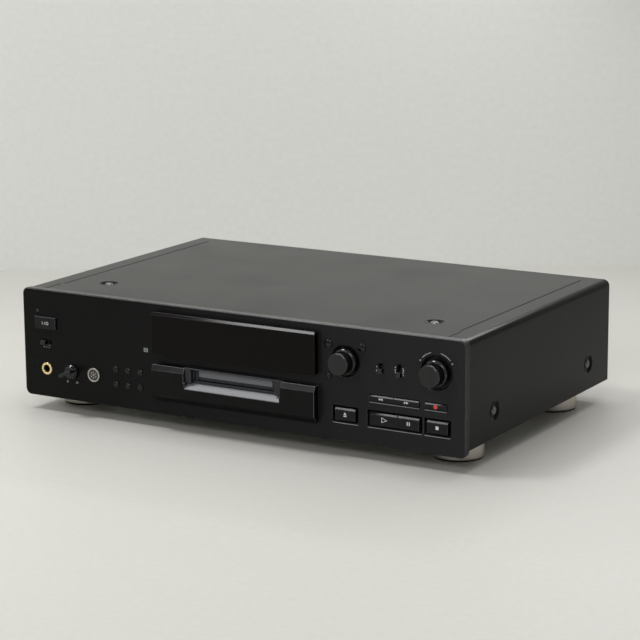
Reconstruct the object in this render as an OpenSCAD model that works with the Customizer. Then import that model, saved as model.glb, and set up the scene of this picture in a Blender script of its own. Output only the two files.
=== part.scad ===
// Full-width disc deck: sheet-steel case, moulded front, front-loading disc mechanism.
// X runs right seen from the front, the front faces -Y, Z is up, and the floor is Z = 0.
// Modules draw in panel space, where Y = 0 is the front panel's face; in_frame() moves them.

/* [Cabinet] */
// Width over the front panel
body_w = 430; // [424:1:460]
// Height from the floor to the panel's top edge
total_h = 107.5; // [105:0.5:125]
// Gap under the panel's lower edge
foot_clear = 12.7; // [10:0.1:18]
// Depth from the panel's face to the cover's rear edge
case_depth = 273; // [265:1:330]
// Height of the case's floor above the panel's lower edge
case_rise = 5.3; // [4:0.1:7]
// Thickness of the cover's sheet
cover_t = 1.2; // [0.8:0.1:1.6]
// How far the cover stands in from the panel's sides
cover_inset = 0.5; // [0.2:0.1:1.2]
// How far the cover lies below the panel's top edge
cover_drop = 0.5; // [0.2:0.1:1]
// Outer radius of the cover's two long bends
cover_bend = 5.5; // [4:0.5:8]
// Thickness of the chassis, brace and rear panel sheet
sheet_t = 1.2; // [0.8:0.1:1.6]
// Height of the chassis's side flanges
flange_h = 28; // [27:1:34]
// How far the rear panel stands in from the cover's rear edge
rear_inset = 1.5; // [1:0.1:3]
// How far the cover stands back from the panel's rim
cover_gap = 0.2; // [0.1:0.1:0.5]

/* [Cover details] */
// Depth of the pressed screw dimples
dimple_d = 2; // [1.5:0.1:2.4]
// Mouth radius of the screw dimples
dimple_r = 8.5; // [7.5:0.1:9.5]
// Distance of the front screws behind the panel's face
screw_front = 51; // [48:1:56]
// Distance of the rear screws behind the panel's face
screw_rear = 231; // [200:1:240]
// Height of the side screws above the case's floor
screw_up = 22.5; // [20:0.5:23]
// Distance of the top screws from the middle
screw_side = 160; // [120:1:180]
// Distance of the seam lines in from the cover's sides
seam_in = 21; // [18:0.5:24]
// Width of the seam lines
seam_w = 0.9; // [0.5:0.1:1.2]
// Depth of the seam lines
seam_d = 0.5; // [0.3:0.1:0.6]

/* [Feet] */
// Radius of the feet
foot_r = 21; // [18:0.5:24]
// Thickness of the pads under the feet
pad_t = 1.2; // [0.8:0.1:2]
// Distance of the feet in from the panel's sides
foot_in = 31; // [28:0.5:40]
// Distance of the front feet behind the panel's face
foot_front = 48; // [40:1:60]
// Distance of the rear feet in front of the cover's rear edge
foot_back = 48; // [40:1:60]

/* [Front panel] */
// Thickness of the panel's moulding
panel_t = 3; // [2.4:0.1:3.6]
// Depth of the panel's rim
panel_rim = 6; // [5:0.5:7]
// Width of the panel's rim
rim_w = 2.6; // [2:0.1:3.5]
// Corner radius of the panel
panel_r = 5.5; // [4:0.5:7]
// Bevel round the panel's front edge
panel_bevel = 0.8; // [0.4:0.1:1.2]
// Gap between the front board and the panel's face
board_y = 14; // [13.5:0.5:17]
// Thickness of the circuit boards
board_t = 1.6; // [1.2:0.1:2]

/* [Centre] */
// Left edge of the window and the slot block in from the panel's left side
window_left = 139; // [136:0.5:145]
// Right edge of the window and the slot block in from the panel's right side
window_right = 133; // [132.5:0.5:140]
// How far the window stands out
window_out = 6.3; // [5:0.1:8]
// Gap between the window and the slot block
window_gap = 8.9; // [8:0.1:11]
// Distance of the window's top below the panel's top
window_down = 6.7; // [6:0.1:8]
// Wall of the window and the slot block
block_wall = 2.4; // [1.8:0.1:2.6]
// How far the slot block stands out
block_out = 7.6; // [7:0.1:9]
// Height of the slot block
block_h = 32.3; // [32:0.1:33]
// Distance of the slot block's foot above the panel's lower edge
block_up = 11.3; // [10.5:0.1:11.5]

/* [Disc slot] */
// Height of the slot's floor above the panel's lower edge
slot_up = 31.5; // [31:0.1:32]
// Width of the disc's way in
throat_w = 73.4; // [73:0.1:75]
// Width of the frame round the slot
bezel_w = 94; // [92:0.5:98]
// Height of the frame round the slot
bezel_h = 12.8; // [12.4:0.1:13.5]
// How far the frame stands out
bezel_out = 5.5; // [4.5:0.1:6.5]
// Width of the frame's cheeks
cheek_w = 6; // [5:0.1:7]
// Height of the ramp below the slot
sill_h = 4.9; // [4:0.1:5.5]
// Width of the flap
flap_w = 72.6; // [72:0.1:72.7]
// Open height below the flap
flap_gap = 2.5; // [2:0.1:3]
// Thickness of the flap
flap_t = 1.6; // [1.2:0.1:2]
// Radius of the flap's pin
flap_pin_r = 1.2; // [1:0.05:1.3]

/* [Keys] */
// Side gap between a transport key and its well
key_side = 2.8; // [2:0.1:3]
// Upper and lower gap between a transport key and its well
key_edge = 1.9; // [1.2:0.1:2.2]
// Height of the lower row's keys
key_h = 10.4; // [9:0.1:11]
// Width of the eject and stop keys
key_w = 18.4; // [16:0.1:19]
// Width of the play key
play_w = 24.8; // [22:0.1:26]
// Width of the pause key
pause_w = 18.8; // [17:0.1:19]
// Gap between two keys that share a well
pair_gap = 0.6; // [0.5:0.1:1]
// Height of the upper row's keys
small_h = 5; // [4.4:0.1:5.4]
// Gap between an upper key and its well
small_gap = 0.75; // [0.6:0.05:0.9]
// Width of the rewind key
rewind_w = 21.4; // [20:0.1:22]
// Width of the forward key
forward_w = 22.4; // [21:0.1:23]
// Width of the record key
record_w = 18.8; // [17:0.1:20]
// How far the keys stand out of the panel
key_out = 0.7; // [0.3:0.1:1.2]
// Travel of the keys
key_travel = 1.2; // [0.8:0.1:1.4]
// Depth of the wells
well_d = 6.2; // [6:0.1:7]
// Thickness of the wells' walls and floors
well_wall = 1.2; // [1:0.1:1.3]
// Width of the power button
power_w = 22; // [20:0.5:24]
// Height of the power button
power_h = 11; // [10:0.5:12]
// How far the power button stands out
power_out = 2.2; // [1.5:0.1:3]
// Travel of the power button
power_travel = 1.6; // [1:0.1:1.8]

/* [Round controls] */
// Radius of the function buttons
button_r = 2.5; // [2:0.1:2.8]
// Radius of the menu and yes buttons
menu_r = 3.4; // [3:0.1:3.8]
// How far the round buttons stand out
button_out = 1.8; // [1.2:0.1:2.5]
// Travel of the round buttons
button_travel = 0.8; // [0.5:0.1:1]
// Gap round buttons, sliders and the power button
button_gap = 0.3; // [0.25:0.05:0.4]
// How far the two large knobs stand out
knob_out = 12.8; // [11:0.1:16]
// Radius of a large knob's face
knob_r = 9; // [8:0.1:9.5]
// Radius of a large knob's skirt
skirt_r = 10.6; // [10:0.1:11]
// Radius of the jog dial's well
jog_well_r = 13.4; // [13.2:0.1:14]
// Radius of the record knob's well
record_well_r = 14.5; // [13.4:0.1:15]
// How much the round wells narrow towards their floors
well_taper = 1.6; // [1:0.1:1.8]
// Travel of the jog dial when pushed
jog_travel = 1; // [0.6:0.1:1.2]
// Radius of the control shafts
shaft_r = 3; // [2.5:0.05:3]
// Radial running clearance of shafts, pins and rods
run = 0.06; // [0.03:0.01:0.1]
// Radius of the phones level knob
phones_r = 6.4; // [6:0.1:7]
// How far the phones level knob stands out
phones_out = 11.6; // [9:0.1:12]
// Width of the phones level knob's blade
blade_w = 2.8; // [2.2:0.1:3.4]
// Angle of the blade from +X at rest, seen from the front
blade_angle = 204; // [180:1:240]

/* [Sliders] */
// Length of the timer slot
timer_slot = 10; // [9:0.1:11]
// Length of the record mode slot
mode_slot = 8.4; // [8:0.1:9]
// Length of the input slot
input_slot = 10.7; // [10:0.1:11.5]
// Width of the slider slots
slot_w = 4.4; // [4:0.1:4.6]
// Length of a slider's knob along its slot
slider_l = 4.2; // [3.6:0.1:4.5]
// How far the sliders stand out
slider_out = 2.8; // [2:0.1:3.5]

/* [Control positions] */
// Power button, timer and headphone socket in from the left side
left_col = 24.5; // [22:0.5:27]
// Phones level knob in from the left side
phones_in = 50.7; // [48:0.1:53]
// Keyboard socket in from the left side
keyboard_in = 74; // [70:0.5:77]
// Socket row above the panel's lower edge
socket_up = 25.4; // [24:0.1:27]
// Power button below the panel's top edge
power_down = 29.2; // [28:0.1:31]
// Timer slot below the power button
timer_down = 17.4; // [16.5:0.1:18]
// First column of function buttons in from the left side
function_in = 97; // [95:0.5:100]
// Spacing of the function buttons' columns
function_dx = 12.65; // [11:0.05:13]
// Lower row of function buttons above the panel's lower edge
function_up = 20.1; // [18:0.1:22]
// Spacing of the function buttons' rows
function_dz = 13.3; // [12:0.1:15]
// Jog dial and eject key in from the right side
jog_in = 108.1; // [106:0.1:109]
// Record mode switch in from the right side
mode_in = 75.7; // [74:0.1:77]
// Input switch in from the right side
input_in = 59.1; // [57:0.1:60]
// Record knob in from the right side
record_in = 26.2; // [25:0.1:28]
// Large knobs below the middle of the space over the keys
knob_down = 2.6; // [2:0.1:3]
// Switches below the middle of the space over the keys
switch_down = 4.5; // [3:0.1:5.5]
// Small buttons beside the jog dial, sideways
jog_dx = 15.5; // [15.4:0.1:17]
// Small buttons beside the jog dial, up and down
jog_dz = 13.1; // [13:0.1:14]
// Play and pause well, its left edge in from the right side
play_in = 88.1; // [86:0.1:88.5]
// Rewind and forward well, its left edge in from the right side
rewind_in = 86.6; // [84:0.1:87]
// Stop well, its left edge in from the right side
stop_in = 36.9; // [36:0.1:37]
// Record key's well, its left edge in from the right side
rec_key_in = 36.6; // [35:0.1:37]
// Lower key row above the panel's lower edge
key_up = 22.3; // [21:0.1:22.5]
// Upper key row above the panel's lower edge
small_up = 39.15; // [39:0.05:42]

/* [Sockets] */
// Bore radius of the headphone socket
phones_bore = 3.175; // [3:0.005:3.3]
// Outer radius of the headphone socket's ring
ring_r = 5.65; // [5.2:0.05:6]
// Outer radius of the keyboard socket
keyboard_r = 6.4; // [6:0.1:7]
// Outer radius of a phono socket's sleeve
phono_r = 4.15; // [4:0.05:4.3]
// How far the phono sockets stand out of the rear panel
jack_out = 8.5; // [7:0.1:10]
// Spacing of the phono sockets
phono_step = 16; // [14:0.5:18]
// Bore radius of the power cord's bushing
cord_r = 3.5; // [3:0.1:4]

/* [Inside] */
// Transformer, side to side
transformer_w = 66; // [50:1:76]
// Transformer's core, front to back
transformer_l = 28; // [20:1:30]
// Height of the transformer
transformer_h = 55; // [40:1:60]
// Bulge of the transformer's windings in front of and behind its core
winding_out = 10; // [6:1:12]
// Middle of the transformer behind the panel's face
transformer_y = 104; // [100:1:106]
// Length of the power board
power_l = 107.5; // [90:0.5:110]
// Width of the power board
power_board_w = 84; // [70:1:88]
// Front edge of the main board behind the panel's face
main_y = 62; // [60:1:80]
// Space between the mechanism's side and the main board
main_gap = 40; // [38:1:60]
// Height of the boards over the case's floor
board_up = 8; // [7:0.5:9]
// Length of the heat sink
sink_l = 62; // [50:1:70]
// Height of the heat sink
sink_h = 42; // [30:1:50]
// Length of the heat sink's fins
fin_l = 16; // [10:1:18]
// Radius of the large capacitors
cap_r = 9; // [7:0.5:10]
// Height of the large capacitors
cap_h = 32; // [25:1:40]
// Side of the largest chip
chip_w = 26; // [20:1:30]
// Height of the chips
chip_h = 2.4; // [1.8:0.1:3]

/* [Disc mechanism] */
// Distance of the disc holder's front behind the panel's face
holder_y = 26; // [25:0.5:30]
// Depth of the disc holder
holder_l = 70; // [70:0.5:74]
// Inner height of the disc holder
holder_h = 5.8; // [5.4:0.1:6.2]
// Sheet thickness of the disc holder and the slider
holder_t = 1; // [0.8:0.1:1.2]
// Drop of the disc holder when it loads
holder_drop = 5; // [4:0.1:5]
// Travel of the cam slider for that drop
cam_travel = 12; // [10:0.5:12]
// Radius of the holder's pins
pin_r = 1.5; // [1.3:0.05:1.6]
// Height of the mechanism's legs
leg_h = 4.8; // [4:0.1:5.2]
// Radius of the spindle motor
motor_r = 10; // [9:0.1:10.5]
// Radius of the turntable
table_r = 9.5; // [8:0.1:10]
// Radius of the sled's guide rods
rod_r = 1.5; // [1.3:0.05:1.6]
// Distance of the guide rods from the spindle
rod_side = 20; // [19:0.1:21]
// Travel of the pickup sled
sled_travel = 16; // [14:0.5:16]
// Gear module
gear_m = 0.8; // [0.75:0.01:0.85]
// Gear teeth
gear_n = 16; // [16:1:17]
// Backlash between gear and rack
backlash = 0.2; // [0.15:0.01:0.3]
// Thickness of the gears
gear_t = 3; // [2:0.1:3]

/* [Hidden] */
$fn = 48;
eps = 0.01;

left = -body_w / 2;
right = body_w / 2;
panel_bot = foot_clear;
panel_top = total_h;
panel_mid = (panel_bot + panel_top) / 2;
panel_y = (knob_out - case_depth + rear_inset - jack_out) / 2;

floor_bot = panel_bot + case_rise;
floor_top = floor_bot + sheet_t;
cover_y = panel_rim + cover_gap;
cover_half = body_w / 2 - cover_inset;
cover_top = total_h - cover_drop;
inner_half = cover_half - cover_t;
inner_top = cover_top - cover_t;
flange_x = inner_half - dimple_d;
rear_y = case_depth - rear_inset;
brace_y = screw_front - 11;
brace_l = 22;
screw_head_r = 3.9;
screw_r = 1.4;
dimple_floor_r = dimple_r - 3.5;

block_w = body_w - window_left - window_right;
centre_x = (window_left - window_right) / 2;
block_bot = panel_bot + block_up;
block_top = block_bot + block_h;
window_top = panel_top - window_down;
window_bot = block_top + window_gap;
window_h = window_top - window_bot;
glass_w = block_w - 46;
glass_h = window_h - 11.6;
glass_y = panel_t + 2;
glass_z = (window_top + window_bot) / 2;
slot_z = panel_bot + slot_up;
bezel_top = slot_z + bezel_h;
sill_w = bezel_w - 2;
bezel_t = 0.9;
axis_y = 3.2;
flap_y = -0.6;
throat_back = 8;
throat_top = bezel_top - bezel_t;
axis_z = throat_top - flap_pin_r - 0.2;
housing_w = throat_w + 9;

row_z = panel_bot + key_up;
small_z = panel_bot + small_up;
well_back = well_d + well_wall;
switch_y = 10.9;
eject_x = right - jog_in;
play_left = right - play_in;
play_x = play_left + key_side + play_w / 2;
pause_x = play_left + key_side + play_w + pair_gap + pause_w / 2;
stop_x = right - stop_in + key_side + key_w / 2;
rewind_left = right - rewind_in;
rewind_x = rewind_left + small_gap + rewind_w / 2;
forward_x = rewind_left + small_gap + rewind_w + pair_gap + forward_w / 2;
rec_key_x = right - rec_key_in + small_gap + record_w / 2;
// Each well: [middle x, middle z, width, height]
WELLS = [
    [eject_x, row_z, key_w + 2 * key_side, key_h + 2 * key_edge],
    [play_left + key_side + (play_w + pair_gap + pause_w) / 2, row_z,
        play_w + pair_gap + pause_w + 2 * key_side, key_h + 2 * key_edge],
    [stop_x, row_z, key_w + 2 * key_side, key_h + 2 * key_edge],
    [rewind_left + small_gap + (rewind_w + pair_gap + forward_w) / 2, small_z,
        rewind_w + pair_gap + forward_w + 2 * small_gap, small_h + 2 * small_gap],
    [rec_key_x, small_z, record_w + 2 * small_gap, small_h + 2 * small_gap]
];
// Each key: [middle x, middle z, width, height]
EJECT = [eject_x, row_z, key_w, key_h];
PLAY = [play_x, row_z, play_w, key_h];
PAUSE = [pause_x, row_z, pause_w, key_h];
STOP = [stop_x, row_z, key_w, key_h];
REWIND = [rewind_x, small_z, rewind_w, small_h];
FORWARD = [forward_x, small_z, forward_w, small_h];
RECORD = [rec_key_x, small_z, record_w, small_h];
KEYS = [EJECT, PLAY, PAUSE, STOP, REWIND, FORWARD, RECORD];
function stem_w(k) = k[2] - 8;
function stem_h(k) = k[3] * 0.5;

power_x = left + left_col;
power_z = panel_top - power_down;
timer_z = power_z - timer_down;
socket_z = panel_bot + socket_up;
phones_x = left + phones_in;
keyboard_x = left + keyboard_in;
jog_x = eject_x;
over_keys = (small_z + small_h / 2 + small_gap + panel_top) / 2;
knob_z = over_keys - knob_down;
record_x = right - record_in;
switch_z = over_keys - switch_down;
mode_x = right - mode_in;
input_x = right - input_in;
// Each round button: [x, z, radius]
function function_at(n) = [left + function_in + function_dx * (n % 3),
    panel_bot + function_up + function_dz * (1 - floor(n / 3)), button_r];
MENU = [jog_x - jog_dx, knob_z + jog_dz, menu_r];
YES = [jog_x + jog_dx, knob_z + jog_dz, menu_r];
CLEAR = [jog_x - jog_dx, knob_z - jog_dz, button_r];
ROUND = [for (n = [0:5]) function_at(n), MENU, YES, CLEAR];
round_well = 5.5;
// Each slider: [middle x, middle z, slot length, runs along x, offset of its knob at rest]
TIMER = [power_x, timer_z, timer_slot, true, -(timer_slot - slider_l) / 2 + button_gap];
MODE = [mode_x, switch_z, mode_slot, false, -(mode_slot - slider_l) / 2 + button_gap];
INPUT = [input_x, switch_z, input_slot, false, -(input_slot - slider_l) / 2 + button_gap];
SLIDERS = [TIMER, MODE, INPUT];
post_r = 2.6;
POSTS = [[left + 9, panel_top - 9], [left + 9, panel_bot + 16], [right - 9, panel_top - 9],
    [right - 9, panel_bot + 16], [left + 110, panel_top - 9],
    [centre_x + block_w / 2 - 1.5, panel_top - 9]];

base_z = floor_top + leg_h;
base_top = base_z + sheet_t;
mech_half = 44;
wall_in = mech_half - sheet_t;
mech_y0 = 22;
mech_y1 = 132;
holder_in = throat_w / 2;
holder_out = holder_in + holder_t;
holder_z = slot_z + 0.2;
pin_z = holder_z + holder_h / 2;
PINS = [holder_y + 22, holder_y + 56];
spindle_y = holder_y + holder_l / 2;
slider_x = mech_half + 0.3;
slider_t = 1.5;
stud_z = pin_z + 6.5;
STUDS = [holder_y + 14, holder_y + 78];
pitch_r = gear_m * gear_n / 2;
addendum = 0.88 * gear_m;
dedendum = 1.25 * gear_m;
pitch = PI * gear_m;
rack_z = pin_z - holder_drop - 6.6;
gear_y = spindle_y + 15;
load_z = rack_z - pitch_r;
sled_y = spindle_y + motor_r + 1;
sled_l = 25;
sled_z = base_top + 2.3;
sled_h = 7;
rod_z = base_top + 6;
rack_x = rod_side + 7;
sled_gear_x = rack_x + pitch_r;
sled_gear_y = sled_y + sled_l - 5;
sled_gear_z = base_top + 3;
stud_r = 2;

module in_frame() { translate([0, panel_y, 0]) children(); }
// Extrudes a drawing made in X and Z from y0 back to y1
module back(y0, y1) { translate([0, y1, 0]) rotate([90, 0, 0]) linear_extrude(y1 - y0) children(); }
// Extrudes a drawing made in Y and Z from x0 to x1
module across(x0, x1) { translate([x0, 0, 0]) rotate([90, 0, 90]) linear_extrude(x1 - x0) children(); }
// Cylinder along Y from y0 (radius r0) to y1 (radius r1)
module rod_y(x, z, y0, y1, r0, r1) {
    translate([x, y0, z]) rotate([-90, 0, 0]) cylinder(h = y1 - y0, r1 = r0, r2 = r1);
}
module rod_x(y, z, x0, x1, r) { translate([x0, y, z]) rotate([0, 90, 0]) cylinder(h = x1 - x0, r = r); }
module rod_z(x, y, z0, z1, r) { translate([x, y, z0]) cylinder(h = z1 - z0, r = r); }
module box(x0, x1, y0, y1, z0, z1) { translate([x0, y0, z0]) cube([x1 - x0, y1 - y0, z1 - z0]); }
module round_rect(x, z, w, h, r) {
    translate([x, z]) {
        square([w - 2 * r, h], center = true);
        square([w, h - 2 * r], center = true);
        for (sx = [-1, 1], sz = [-1, 1]) translate([sx * (w / 2 - r), sz * (h / 2 - r)]) circle(r = r);
    }
}
// Slot between two points of a drawing; its sides lie a little inside its round ends
module slot_2d(a, b, r, inside = 0) {
    d = b - a;
    translate(a) circle(r = r);
    translate(b) circle(r = r);
    translate((a + b) / 2) rotate(atan2(d[1], d[0])) square([norm(d), 2 * (r - inside)], center = true);
}

// ---- Gears: the flanks are involutes of a 20 degree gear ----
function roll(a) = tan(a) * 180 / PI - a;
function flank(r) = 90 / gear_n - backlash / 4 / pitch_r * 180 / PI + roll(20)
    - roll(acos(min(1, pitch_r * cos(20) / r)));
GEAR_R = [pitch_r - dedendum, pitch_r * cos(20) + eps, pitch_r - 0.1, pitch_r + addendum / 2, pitch_r + addendum];
// The gear's drawing has a tooth on its +X side
module gear_2d() {
    polygon([for (n = [0:gear_n - 1]) let (a = n * 360 / gear_n) each concat(
        [for (r = GEAR_R) r * [cos(a - flank(r)), sin(a - flank(r))]],
        [for (i = [len(GEAR_R) - 1:-1:0]) let (r = GEAR_R[i]) r * [cos(a + flank(r)), sin(a + flank(r))]])]);
}
// The rack's pitch line is Y = 0, its teeth point to -Y and a space lies at X = 0
module rack_2d(x0, x1, body) {
    half = pitch / 4 - backlash / 4;
    first = ceil((x0 - pitch / 2) / pitch);
    last = floor((x1 - pitch / 2) / pitch) - 1;
    translate([x0, dedendum]) square([x1 - x0, body]);
    for (n = [first:last]) translate([(n + 0.5) * pitch, 0]) polygon([
        [-half - dedendum * tan(20), dedendum + eps], [-half + addendum * tan(20), -addendum],
        [half - addendum * tan(20), -addendum], [half + dedendum * tan(20), dedendum + eps]]);
}

// ---- Case ----
module screw_dimple_cut() {
    translate([0, 0, -dimple_d]) cylinder(h = dimple_d + eps, r1 = dimple_floor_r, r2 = dimple_r);
    translate([0, 0, -dimple_d - cover_t - 1]) cylinder(h = cover_t + 2, r = screw_r + 0.4);
}
module screw_dimple_body() {
    translate([0, 0, -dimple_d - cover_t])
        cylinder(h = dimple_d + cover_t / 2, r1 = dimple_floor_r + 0.8, r2 = dimple_r + 0.6);
}
// Puts its children at each cover screw, with +Z pointing out of the cover
module at_cover_screws() {
    for (s = [-1, 1]) translate([s * screw_side, screw_front, cover_top]) children();
    for (s = [-1, 1], y = [screw_front, screw_rear])
        translate([s * cover_half, y, floor_bot + screw_up]) rotate([0, s * 90, 0]) children();
}
module cover_outline(inset) {
    w = cover_half - inset;
    r = max(cover_bend - inset, 1);
    translate([-w, floor_bot]) square([2 * w, cover_top - inset - floor_bot - r]);
    translate([-w + r, floor_bot]) square([2 * (w - r), cover_top - inset - floor_bot]);
    for (s = [-1, 1]) translate([s * (w - r), cover_top - inset - r]) circle(r = r);
}
module top_cover() {
    color([0.2, 0.2, 0.2]) in_frame() difference() {
        union() {
            back(cover_y, case_depth) difference() {
                cover_outline(0);
                cover_outline(cover_t);
                translate([-inner_half, floor_bot - 1]) square([2 * inner_half, 10]);
            }
            at_cover_screws() screw_dimple_body();
        }
        at_cover_screws() screw_dimple_cut();
        for (s = [-1, 1]) {
            translate([s * (cover_half - seam_in), 0, 0])
                box(-seam_w / 2, seam_w / 2, cover_y + 26, case_depth - 14, cover_top - seam_d, cover_top + 1);
            translate([s * (cover_half - seam_in + 2), 0, 0])
                box(-seam_w / 2, seam_w / 2, cover_y - 1, cover_y + 23, cover_top - seam_d, cover_top + 1);
        }
    }
}
module chassis() {
    color([0.62, 0.63, 0.62]) in_frame() difference() {
        union() {
            box(-flange_x, flange_x, panel_rim, rear_y - sheet_t, floor_bot, floor_top);
            for (s = [-1, 1]) translate([s * (flange_x - sheet_t / 2), 0, 0])
                box(-sheet_t / 2, sheet_t / 2, panel_rim + 4, rear_y - sheet_t - 4, floor_bot, floor_bot + flange_h);
            box(-flange_x, flange_x, panel_rim, panel_rim + sheet_t, floor_bot, floor_bot + 7);
            box(-flange_x, flange_x, rear_y - 2 * sheet_t, rear_y - sheet_t, floor_bot, floor_bot + 9);
            for (p = concat(MAIN_POSTS, POWER_POSTS)) rod_z(p[0], p[1], floor_bot, board_z, 3);
            for (y = [150, 190, 230]) across(-70, 70) polygon([[y - 4, floor_top - eps], [y - 2, floor_top + 1.5],
                [y + 2, floor_top + 1.5], [y + 4, floor_top - eps]]);
        }
        for (s = [-1, 1], y = [screw_front, screw_rear])
            translate([s * flange_x, y, floor_bot + screw_up]) rotate([0, 90, 0])
                cylinder(h = 6, r = screw_r + 0.1, center = true);
        for (x = [right - 130:8:right - 60], y = [case_depth - 105, case_depth - 65])
            box(x - 1.5, x + 1.5, y, y + 28, floor_bot - 1, floor_top + 1);
        for (s = [-1, 1], y = [foot_front, case_depth - foot_back])
            rod_z(s * (right - foot_in), y, floor_bot - 1, floor_top + 1, 2.1);
        for (p = REAR_SCREWS) rod_y(p[0], p[1], rear_y - 6, rear_y, screw_r + 0.1, screw_r + 0.1);
    }
}
module top_brace() {
    top = inner_top - dimple_d;
    half = flange_x - sheet_t;
    color([0.66, 0.67, 0.66]) in_frame() difference() {
        union() {
            box(-half, half, brace_y, brace_y + brace_l, top - sheet_t, top);
            box(-half, half, brace_y, brace_y + sheet_t, top - 6, top);
            for (s = [-1, 1]) translate([s * (half - sheet_t / 2), 0, 0])
                box(-sheet_t / 2, sheet_t / 2, brace_y, brace_y + brace_l, floor_top, top);
        }
        for (s = [-1, 1]) {
            rod_z(s * screw_side, screw_front, top - 5, top + 1, screw_r + 0.1);
            translate([s * half, screw_front, floor_bot + screw_up]) rotate([0, 90, 0])
                cylinder(h = 6, r = screw_r + 0.1, center = true);
        }
    }
}
module screw() {
    translate([0, 0, -dimple_d]) {
        difference() {
            union() {
                cylinder(h = 1.1, r = screw_head_r);
                translate([0, 0, 1.1]) cylinder(h = 0.8, r1 = screw_head_r, r2 = screw_head_r - 1.3);
            }
            for (a = [0, 90]) rotate(a) translate([-2, -0.35, 1]) cube([4, 0.7, 2]);
        }
        translate([0, 0, -7]) cylinder(h = 7 + eps, r = screw_r);
    }
}
module cover_screws() { color([0.25, 0.25, 0.25]) in_frame() at_cover_screws() screw(); }

REAR_SCREWS = [[left + 12, inner_top - 8], [0, inner_top - 8], [right - 12, inner_top - 8],
    [left + 12, floor_bot + 5], [-60, floor_bot + 5], [right - 12, floor_bot + 5]];
phono_x = right - 65;
coax_x = right - 115;
OPTICAL = [right - 137, right - 151, right - 165];
board_z = floor_top + board_up;
jack_z = board_z + board_t + 9;
jack_face = rear_y - sheet_t;
cord_x = left + 45;
cord_z = floor_top + 26;
module rear_panel() {
    color([0.2, 0.2, 0.2]) in_frame() difference() {
        box(-inner_half, inner_half, rear_y - sheet_t, rear_y, floor_bot, inner_top - 0.2);
        for (s = [-1, 1]) translate([s * inner_half, 0, inner_top])
            rotate([0, 45, 0]) cube([6, 2 * case_depth + 20, 6], center = true);
        for (i = [0, 1], k = [0, 1])
            rod_y(phono_x + i * phono_step, jack_z + k * phono_step, rear_y - 5, rear_y + 5, phono_r + 1, phono_r + 1);
        rod_y(coax_x, jack_z, rear_y - 5, rear_y + 5, phono_r + 1, phono_r + 1);
        for (x = OPTICAL) box(x - 5.2, x + 5.2, rear_y - 5, rear_y + 5, jack_z - 5.2, jack_z + 5.2);
        rod_y(cord_x, cord_z, rear_y - 5, rear_y + 5, cord_r + 2.6, cord_r + 2.6);
        for (p = REAR_SCREWS) rod_y(p[0], p[1], rear_y - 5, rear_y + 5, screw_r + 0.1, screw_r + 0.1);
        for (i = [0:9]) box(left + 80 + 7 * i, left + 83 + 7 * i, rear_y - 5, rear_y + 5, inner_top - 40, inner_top - 16);
    }
}
module rear_screws() {
    color([0.25, 0.25, 0.25]) in_frame() for (p = REAR_SCREWS) {
        rod_y(p[0], p[1], rear_y, rear_y + 1.2, 3, 2.6);
        rod_y(p[0], p[1], rear_y - 6, rear_y + eps, screw_r, screw_r);
    }
}
module at_feet() {
    for (s = [-1, 1], y = [foot_front, case_depth - foot_back]) translate([s * (right - foot_in), y, 0]) children();
}
module feet() {
    color([0.72, 0.68, 0.62]) in_frame() at_feet() rotate_extrude($fn = 96) polygon([
        [2.1, floor_bot], [foot_r, floor_bot], [foot_r, pad_t + 0.8], [foot_r - 0.6, pad_t],
        [8, pad_t], [6, pad_t + 3], [2.1, pad_t + 3]]);
}
module foot_pads() {
    color([0.06, 0.06, 0.06]) in_frame() at_feet() rotate_extrude($fn = 96)
        polygon([[8, 0], [foot_r - 1.2, 0], [foot_r - 0.9, pad_t], [8, pad_t]]);
}

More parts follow.
